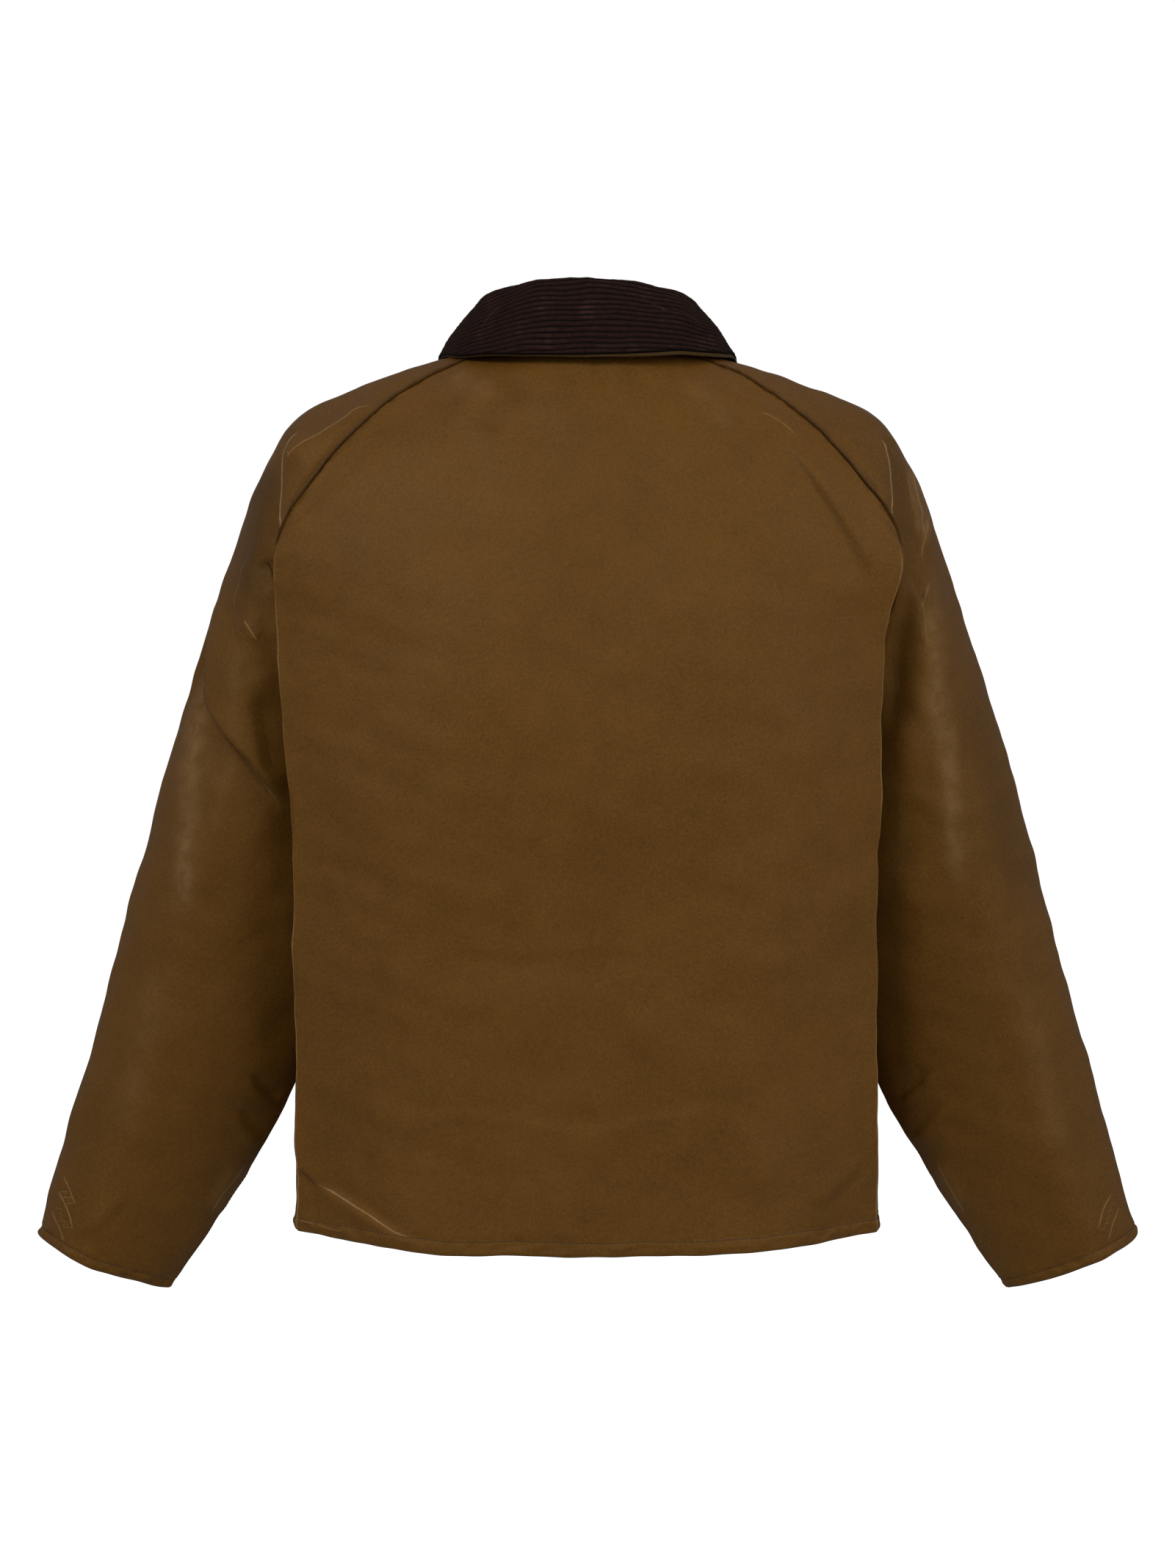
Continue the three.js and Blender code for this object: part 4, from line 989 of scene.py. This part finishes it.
sleeve_normals[:yoke, 0] = back_seam_out
front_normals[:yoke, 0] = front_seam_out
sleeve_normals[:yoke, -1] = front_seam_out
back_normals[yoke:, -1] = side_out
back_normals[yoke:, 0] = mirrored(side_out)
front_normals[yoke:, 0] = side_out
centre_out = unit(front_normals[:, -1] * np.array([0, 1, 1]))
front_normals[:, -1] = centre_out

TORSO_YOKE = np.arange(len(TORSO_SHARES)) < yoke
ALL_TORSO = np.ones(len(TORSO_SHARES), bool)
ARM_YOKE = np.arange(len(ARM_SHARES)) < yoke

PANELS = {}


def wavered(grid):
    """The grid moved about a little, so seams, folds and hems waver as sewn cloth does."""
    moved = np.stack([ripple(grid, 62, 81, 10), ripple(grid, 70, 83, 10), ripple(grid, 62, 85, 10)],
                     axis=-1)
    fine = np.stack([ripple(grid, 24, 87, 12), ripple(grid, 26, 89, 12), ripple(grid, 24, 91, 12)],
                    axis=-1)
    return grid + 0.42 * moved + 0.2 * fine


def make_panel(name, grid, normals, seams, felled, turned, seed, edges, flipped=False,
               welded_from=None, fold_columns=()):
    seam_at = np.full(grid.shape[:2], float(FAR))
    for side, rows in seams:
        seam_at = np.minimum(seam_at, from_seam(grid, side, rows))
    hem_at = arcs(grid, 0)
    hem_at = hem_at[-1:] - hem_at
    lift, fields = crease_fields(grid, normals[..., 1], seam_at, name)
    lift = lift + sewn_lift(grid, seam_at, hem_at, felled, turned, seed) + soft_lift(grid)
    if welded_from is not None:
        far = arcs(grid, 1)
        inner_at = np.minimum(far, far[:, -1:] - far)
        below = smooth(np.arange(len(grid)), welded_from, welded_from + 12)[:, None]
        lift = lift - below * (0.55 * np.exp(-(inner_at / 0.9) ** 2)
                               - 0.5 * smooth(-inner_at, -6, -3.6) * (far < far[:, -1:] / 2))
        seam_at = np.minimum(seam_at, np.where(below > 0.5, inner_at, FAR))
        lift[welded_from:, -1] = lift[welded_from:, 0]
    along_row = arcs(grid, 1)
    shares = TORSO_SHARES if len(grid) == len(TORSO_SHARES) else ARM_SHARES
    # A pale line along each fold edge of the back: painted highlight, with some worn wax
    for column, power in fold_columns:
        fold_at = along_row - along_row[:, column, None]
        worn = power * smooth(shares, 0.49, 0.54)[:, None] * np.exp(-(fold_at / 5) ** 2)
        worn = worn * (0.75 + 0.25 * ripple(grid, 60, 31))
        nearer_line(fields, "pale", slice(None), worn, fold_at, width=np.inf)
    if name == "back" or name.startswith("sleeve"):
        tucked = smooth(shares, 0.5, 0.57) * (shares < 1)
        seam_at = seam_at + 6 * tucked[:, None] * (normals[..., 1] > 0)
    fields["seam_at"] = np.minimum(seam_at, FIELD_FAR)
    fields["hem_at"] = np.minimum(hem_at, FIELD_FAR)
    outer = drawn_in(wavered(grid), edges)
    outer = outer + normals * lift[..., None]
    thick = CLOTH + (TURNED_EDGE - CLOTH) * (hem_at <= turned + 0.1)
    inner = outer - normals * thick[..., None]
    cloth = WAXED_SLEEVE_SHADED if name.startswith("sleeve") else WAXED_BODY
    made = shell(name + "_cloth", outer, inner, cloth, flipped, welded_from,
                 fields=fields)
    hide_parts(name)
    PANELS[name] = dict(object=made, outer=outer, normals=normals, seam_at=seam_at, hem_at=hem_at)


above = slice(0, yoke)
below = slice(yoke, None)
whole = slice(None)
make_panel("back", back, back_normals, [(0, ALL_TORSO), (1, ALL_TORSO)], False, HEM_DEPTH, 41,
           [(0, 1, whole), (-1, -2, whole)],
           fold_columns=[(left_of_fold, 0.75), (back.shape[1] - 1 - left_of_fold, 0.75)])
make_panel("front_left", front, front_normals, [(0, ALL_TORSO)], False, HEM_DEPTH, 43,
           [(0, 1, whole), (-1, -2, whole)])
make_panel("front_right", mirrored(front), mirrored(front_normals), [(0, ALL_TORSO)], False,
           HEM_DEPTH, 45, [(0, 1, whole), (-1, -2, whole)], flipped=True)
make_panel("sleeve_left", sleeve, sleeve_normals, [(0, ARM_YOKE), (1, ARM_YOKE)], True, CUFF_DEPTH,
           47, [(0, 1, above), (-1, -2, above)], welded_from=YOKE_ROWS)
make_panel("sleeve_right", mirrored(sleeve), mirrored(sleeve_normals),
           [(0, ARM_YOKE), (1, ARM_YOKE)], True, CUFF_DEPTH, 49,
           [(0, 1, above), (-1, -2, above)], flipped=True, welded_from=YOKE_ROWS)

# The collar: up the stand from the neck seam, over the roll and down the fall
neck_stations = np.array([[YOKE[0][key] for key in NECK_KEYS]], float)
neck_line = across(neck_stations, [steps(4)] * (len(NECK_KEYS) - 1))[0]
neck_at = run_of(neck_line)
neck_at /= neck_at[-1]


def collar_stations(share, side):
    neck = spline(neck_line, neck_at, share)[0]
    if share > 0.5:
        neck[0] = max(neck[0], COLLAR_END_FROM_CENTRE)
    roll = line(COLLAR, "roll", share)[0]
    fall = line(COLLAR, "fall", share)[0]
    ahead = line(COLLAR, "roll", min(share + 0.03, 1))[0]
    behind = line(COLLAR, "roll", share - 0.03)[0] if share > 0 else mirrored(roll)
    run = (ahead - behind) * np.array([1, 1, 0])
    if share == 0:
        run[1] = 0
    to_fall = unit((fall - roll) * np.array([1, 1, 0]))
    out = unit(np.cross(UP, run))
    out = unit(out + (to_fall - out) * 0.75)
    tucked = 1 - smooth(share, 0.8, 0.97)
    low = 1 - smooth(share, 0.5, 0.72) if side > 0 else 1 - smooth(share, 0.08, 0.26)
    if side < 0:
        low = low + 0.6 * smooth(share, 0.34, 0.44) * (1 - smooth(share, 0.56, 0.7))
    fall = fall - UP * FALL_LOWER * low
    dip = 1.4 if side > 0 else 3.2
    roll = roll - UP * dip * smooth(share, 0.08, 0.26) * (1 - smooth(share, 0.44, 0.6))
    neck = neck - out * COLLAR_TUCK * tucked + UP * (COLLAR_LIFT - COLLAR_DROP * tucked)
    roll_middle = roll - UP * ROLL_RADIUS
    roll_in = roll_middle - out * ROLL_RADIUS
    roll_out = roll_middle + out * ROLL_RADIUS
    stand = (neck + roll_in) / 2
    fall_middle = (roll_out + fall) / 2 + out * 1.5 + UP * 1.5
    return np.stack([neck, stand, roll_in, roll, roll_out, fall_middle, fall])


def collar_grid(shares, columns):
    """Rows of points at even distances down each collar section, as its wales run."""
    rows = []
    for share in shares:
        fine = across(collar_stations(abs(share), share)[None], [steps(20)] * 6)[0]
        far = run_of(fine)
        section = read_at(np.linspace(0, far[-1], columns), far, fine)
        rows.append(mirrored(section) if share < 0 else section)
    return np.array(rows)


collar_shares = np.linspace(-1, 1, 2 * (COLLAR_ROWS // 2) + 1)
collar = collar_grid(collar_shares, WALE_COUNT * WALE_COLUMNS + 1)
collar_normals = -grid_normals(collar)
for _ in range(2):
    padded_rows = np.pad(collar_normals, ((1, 1), (0, 0), (0, 0)), mode="edge")
    collar_normals = unit(padded_rows[:-2] + 2 * padded_rows[1:-1] + padded_rows[2:])

collar_lift = np.zeros(collar.shape[:2])
collar_pale_at = np.full(collar.shape[:2], LINE_FAR)
collar_pale = np.zeros(collar.shape[:2])
for face, fold in creases_on("collar"):
    signed, along = (values.reshape(collar.shape[:2])
                     for values in from_path(collar.reshape(-1, 3)[:, [0, 2]], fold["points"]))
    fade = smooth(along, 0, 0.25) * smooth(1 - along, 0, 0.25)
    fade = fade * smooth(collar_normals[..., 1] * face, 0.02, 0.3)
    collar_lift += fade * step_lift(signed, fold)
    power = fold.get("pale", 0) * fade * np.exp(-(signed / 3) ** 2)
    collar_pale_at = np.where(power > collar_pale * 0.99, np.clip(signed, -LINE_FAR, LINE_FAR),
                              collar_pale_at)
    collar_pale = np.maximum(collar_pale, power)
collar_lift += 0.7 * ripple(collar, 90, 61) + 0.25 * ripple(collar, 30, 63)

# Each wale is a rounded rib; the ribs wander a little, and so do their heights
wale_number = np.arange(collar.shape[1]) / WALE_COLUMNS
drift = np.where(collar_shares > 0, 3.4, 1.8) * np.minimum(np.abs(collar_shares) / 0.36, 2) ** 2
wander = 0.12 * ripple(collar, 40, 65) - drift[:, None]
wale = np.abs(np.sin(np.pi * (wale_number[None, :] + wander))) ** 0.75
wale *= smooth(wale_number, 0, 0.4) * smooth(WALE_COUNT - wale_number, 0, 0.4)
ribs = -WALE_HEIGHT * (1 - wale) + 0.1 * ripple(collar, 7, 67) * wale
collar_outer = collar + collar_normals * (collar_lift + ribs)[..., None]
collar_inner = collar + collar_normals * (collar_lift - CORDUROY)[..., None]
collar_top = shell("collar_top_cloth", collar_outer, collar_inner, CORD, flipped=True,
                   fields=dict(pale_at=collar_pale_at, pale=collar_pale))
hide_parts("collar_top")

# The field that tells the material how high on a wale a point is, which it turns into painted
# highlight on the tops and painted shade between them; plain inside
WALE_INSIDE = 0.35
wale_field = np.concatenate([wale.reshape(-1), np.full(wale.size, WALE_INSIDE)])
layer = collar_top.data.attributes.new("wale", "FLOAT", "POINT")
layer.data.foreach_set("value", wale_field.astype(np.float32))

# The under collar, of the body's cloth darkened with painted shade, shows as a thin line past the
# edge of the fall
under_rows = slice(6, -6)
under = collar[under_rows, ::3]
under_normals = collar_normals[under_rows, ::3]
under_lift = collar_lift[under_rows, ::3] - CORDUROY - SEAM_GAP
under = under + under_normals * under_lift[..., None]
peek_size = UNDER_PEEK * (1 - 0.75 * smooth(collar_shares[under_rows], -0.25, 0.2))
peek = unit(under[:, -1] - under[:, -3]) * peek_size[:, None]
under_outer = under.copy()
under_outer[:, -1] += peek * 1.0
under_outer[:, -2] += peek * 0.55
under_thick = np.full(under.shape[:2], UNDER_COLLAR)
under_thick[:, -1] = 1.0
under_inner = under_outer - under_normals * under_thick[..., None]
collar_under = shell("collar_under_cloth", under_outer, under_inner, WAXED_UNDER_SHADED,
                     flipped=True)
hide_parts("collar_under")

# The placket lies on both fronts and covers where they meet
left = PANELS["front_left"]
right = PANELS["front_right"]
top_row = int(np.searchsorted(TORSO_SHARES, 2 / 14))
placket = np.concatenate([left["outer"][top_row:, -PLACKET_COLUMNS - 1:-1],
                          (left["outer"][top_row:, -1:] + right["outer"][top_row:, -1:]) / 2,
                          right["outer"][top_row:, -PLACKET_COLUMNS - 1:-1][:, ::-1]], axis=1)
placket_out = np.concatenate([left["normals"][top_row:, -PLACKET_COLUMNS - 1:],
                              right["normals"][top_row:, -PLACKET_COLUMNS - 1:-1][:, ::-1]], axis=1)
rise = np.concatenate([[PLACKET_CLOTH - 0.6, PLACKET_CLOTH + 0.15, PLACKET_CLOTH - 0.1],
                       np.full(2 * PLACKET_COLUMNS - 5, PLACKET_CLOTH + 0.1),
                       [PLACKET_CLOTH - 0.1, PLACKET_CLOTH + 0.15, PLACKET_CLOTH - 0.6]])
placket_rise = rise + 0.18 * ripple(placket, 14, 71) + 0.25 * ripple(placket, 48, 73)
placket_outer = placket + placket_out * (placket_rise + SEAM_GAP)[..., None]
placket_inner = placket + placket_out * SEAM_GAP
edge_at = arcs(placket_outer, 1)
edge_at = np.minimum(edge_at, edge_at[:, -1:] - edge_at)
placket_made = shell("placket_cloth", placket_outer, placket_inner, WAXED_BODY,
                     fields=dict(hem_at=np.minimum(edge_at, FIELD_FAR)))
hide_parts("placket")


def even_line(points, normals, pitch):
    """Places at an even pitch along a line of points, with the way and the outward direction."""
    far = run_of(points)
    at = np.arange(pitch / 2, far[-1], pitch)
    way = unit(read_at(at + 0.5, far, points) - read_at(at - 0.5, far, points))
    return read_at(at, far, points), way, unit(read_at(at, far, normals))


STITCH = np.array([[-1, -0.6, -0.6], [-1, 0.6, -0.6], [1, 0.6, -0.6], [1, -0.6, -0.6],
                   [-0.72, -1, 0.35], [-0.72, 1, 0.35], [0.72, 1, 0.35], [0.72, -1, 0.35],
                   [-0.5, -0.4, 1], [-0.5, 0.4, 1], [0.5, 0.4, 1], [0.5, -0.4, 1]])
STITCH_FACES = np.array([[3, 2, 1, 0], [0, 1, 5, 4], [1, 2, 6, 5], [2, 3, 7, 6], [3, 0, 4, 7],
                         [4, 5, 9, 8], [5, 6, 10, 9], [6, 7, 11, 10], [7, 4, 8, 11], [8, 9, 10, 11]])


def sew(name, lines, pitch=3.1, length=2.4, width=0.62, height=0.42, sunk=0.1):
    """Lock stitches along lines of (points, normals), as one joined mesh."""
    verts = []
    faces = []
    count = 0
    for points, normals in lines:
        place, way, out = even_line(points, normals, pitch)
        side = unit(np.cross(out, way))
        half = np.array([length / 2, width / 2, height / 2])
        shape = STITCH * half
        lifted = place + out * (height / 2 - sunk)
        made = (lifted[:, None] + shape[None, :, 0, None] * way[:, None]
                + shape[None, :, 1, None] * side[:, None] + shape[None, :, 2, None] * out[:, None])
        verts.append(made.reshape(-1, 3))
        start = count + np.arange(len(place)) * len(STITCH)
        faces.append((start[:, None, None] + STITCH_FACES[None]).reshape(-1, 4))
        count += len(place) * len(STITCH)
    made = mesh_object(name, np.concatenate(verts), np.concatenate(faces), THREAD)
    return made


def beside_edge(panel, side, far, rows):
    """A line on a panel at a set distance from one side edge, through some of its rows."""
    at = from_seam(panel["outer"], side, np.ones(len(panel["outer"]), bool))
    order = slice(None) if side == 0 else slice(None, None, -1)
    points, normals = (np.array([read_at(far, at[r][order][:40], values[r][order][:40])
                                 for r in rows]) for values in (panel["outer"], panel["normals"]))
    return points, unit(normals)


def above_edge(panel, far):
    """A line on a panel at a set distance above its lower edge."""
    at = panel["hem_at"]
    points, normals = (np.array([read_at(far, at[::-1, c][:40], values[::-1, c][:40])
                                 for c in range(at.shape[1])])
                       for values in (panel["outer"], panel["normals"]))
    return points, unit(normals)


raglan_rows = np.arange(2, YOKE_ROWS - 3)
side_rows = np.arange(YOKE_ROWS + 4, len(TORSO_SHARES) - TURNED_ROWS)
arm_rows = np.arange(YOKE_ROWS + 6, len(ARM_SHARES) - TURNED_ROWS)
for name in ("sleeve_left", "sleeve_right"):
    sew("stitches_" + name, [
        beside_edge(PANELS[name], 0, STITCH_FROM_SEAM, raglan_rows),
        beside_edge(PANELS[name], 1, STITCH_FROM_SEAM, raglan_rows),
        beside_edge(PANELS[name], 0, 3.4, arm_rows),
        above_edge(PANELS[name], CUFF_DEPTH)])
sew("stitches_back", [beside_edge(PANELS["back"], 0, 3.2, side_rows),
                                     beside_edge(PANELS["back"], 1, 3.2, side_rows),
                                     above_edge(PANELS["back"], HEM_DEPTH)])
for name in ("front_left", "front_right"):
    sew("stitches_" + name, [above_edge(PANELS[name], HEM_DEPTH)])
placket_panel = dict(outer=placket_outer, normals=placket_out)
placket_rows = np.arange(3, len(placket_outer) - 2)
sew("stitches_placket", [
    beside_edge(placket_panel, side, far, placket_rows) for side in (0, 1) for far in (2.2, 9.5)])
under_panel = dict(outer=under_inner, normals=-under_normals)
under_line = np.arange(2, len(under_inner) - 2)
sew("stitches_collar", [beside_edge(under_panel, 1, 3.2, under_line)],
                           pitch=2.6, length=1.9, width=0.5, height=0.34)


def stud(number):
    """A press stud's cap: a rolled rim, a groove and a shallow dome, on a short foot."""
    low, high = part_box(f"stud_{number}")
    z = (low[2] + high[2]) / 2 / MM
    row = int(np.argmin(np.abs(placket_outer[:, PLACKET_COLUMNS, 2] - z)))
    xs = placket_outer[row, :, 0]
    order = np.argsort(xs)
    place = read_at(-STUD_FROM_CENTRE, xs[order], placket_outer[row, order])
    out = unit(read_at(-STUD_FROM_CENTRE, xs[order], placket_out[row, order]))
    side = unit(np.cross(UP, out))
    over = np.cross(out, side)
    profile = [(0, 0.1), (4.4, 0.1), (5.4, 0.2), (6.0, 0.45), (6.2, 0.85), (6.1, 1.25), (5.75, 1.6),
               (5.3, 1.75), (4.95, 1.62), (4.75, 1.5), (4.5, 1.56), (4.1, 1.85), (3.4, 2.22),
               (2.5, 2.5), (1.4, 2.7), (0.6, 2.78), (0, 2.8)]
    turns = np.arange(44) / 44 * 2 * math.pi
    verts = [place + out * profile[0][1]]
    for radius, height in profile[1:-1]:
        verts += list(place + out * height + radius * (np.cos(turns)[:, None] * side
                                                       + np.sin(turns)[:, None] * over))
    verts.append(place + out * profile[-1][1])
    faces = []
    size = len(turns)
    last = len(verts) - 1
    for k in range(size):
        nxt = (k + 1) % size
        faces.append((0, 1 + nxt, 1 + k))
        for a in range(1, last - size, size):
            faces.append((a + k, a + nxt, a + size + nxt, a + size + k))
        faces.append((last - size + k, last - size + nxt, last))
    made = mesh_object(f"press_stud_{number}", np.array(verts), faces, BRASS)
    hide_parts(f"stud_{number}")
    return made


studs = [stud(number) for number in range(1, STUD_COUNT + 1)]

# Floor, light and camera
def staged(name, points, faces, base, roughness, glow):
    """A surface of the studio, which the camera sees and which adds no light of its own."""
    mesh = bpy.data.meshes.new(name)
    mesh.from_pydata(points, [], faces)
    made = bpy.data.objects.new(name, mesh)
    scene.collection.objects.link(made)
    finish = bpy.data.materials.new(name + "_finish")
    finish.use_nodes = True
    inputs = finish.node_tree.nodes["Principled BSDF"].inputs
    inputs["Base Color"].default_value = (base, base, base, 1)
    inputs["Roughness"].default_value = roughness
    inputs["Emission Color"].default_value = (1, 1, 1, 1)
    inputs["Emission Strength"].default_value = glow
    mesh.materials.append(finish)
    made.visible_diffuse = False
    made.visible_glossy = False
    made.visible_shadow = False


staged("floor", [(-30, -30, -1.6), (30, -30, -1.6), (30, 30, -1.6), (-30, 30, -1.6)],
       [(0, 1, 2, 3)], 0.9, 0.9, 0.8)
ROUND = 48
RINGS = 24
DOME_RADIUS = 25
dome_points = [(DOME_RADIUS * math.cos(b) * math.cos(a), DOME_RADIUS * math.cos(b) * math.sin(a),
                DOME_RADIUS * math.sin(b))
               for b in np.linspace(-math.pi / 2, math.pi / 2, RINGS + 1)
               for a in np.arange(ROUND) / ROUND * 2 * math.pi]
dome_faces = [(r * ROUND + c, r * ROUND + (c + 1) % ROUND, (r + 1) * ROUND + (c + 1) % ROUND,
               (r + 1) * ROUND + c) for r in range(RINGS) for c in range(ROUND)]
staged("backdrop", dome_points, dome_faces, 0, 0.5, 1.0)

world = bpy.data.worlds.new("studio")
scene.world = world
world.use_nodes = True
world.node_tree.nodes["Background"].inputs["Color"].default_value = (1, 1, 1, 1)
world.node_tree.nodes["Background"].inputs["Strength"].default_value = 0.34
scene.view_settings.view_transform = "Standard"


def soft_light(name, place, target, size, power):
    light = bpy.data.lights.new(name, "AREA")
    light.shape = "RECTANGLE"
    light.size, light.size_y = size
    light.energy = power
    made = bpy.data.objects.new(name, light)
    way = np.array(target, float) - np.array(place, float)
    away = math.atan2(way[0], -way[1])
    down = math.atan2(way[2], math.hypot(way[0], way[1]))
    made.rotation_euler = (math.pi / 2 + down, 0, math.pi + away)
    made.location = place
    scene.collection.objects.link(made)


soft_light("key", (1.5, 2.6, 1.5), (0, 0, -0.3), (1.3, 1.0), 52)
soft_light("fill", (-2.0, 2.0, 0.9), (0, 0, -0.3), (2.6, 2.2), 36)
soft_light("front", (0, -3.0, -0.2), (0, 0, -0.35), (1.4, 1.1), 60)

camera_data = bpy.data.cameras.new("camera")
camera_data.sensor_width = 36
camera_data.lens = 36 * 3495 / 2136
camera = bpy.data.objects.new("camera", camera_data)
camera.location = (0, 2.0, -0.3225)
camera.rotation_euler = (math.pi / 2, 0, math.pi)
scene.collection.objects.link(camera)
scene.camera = camera
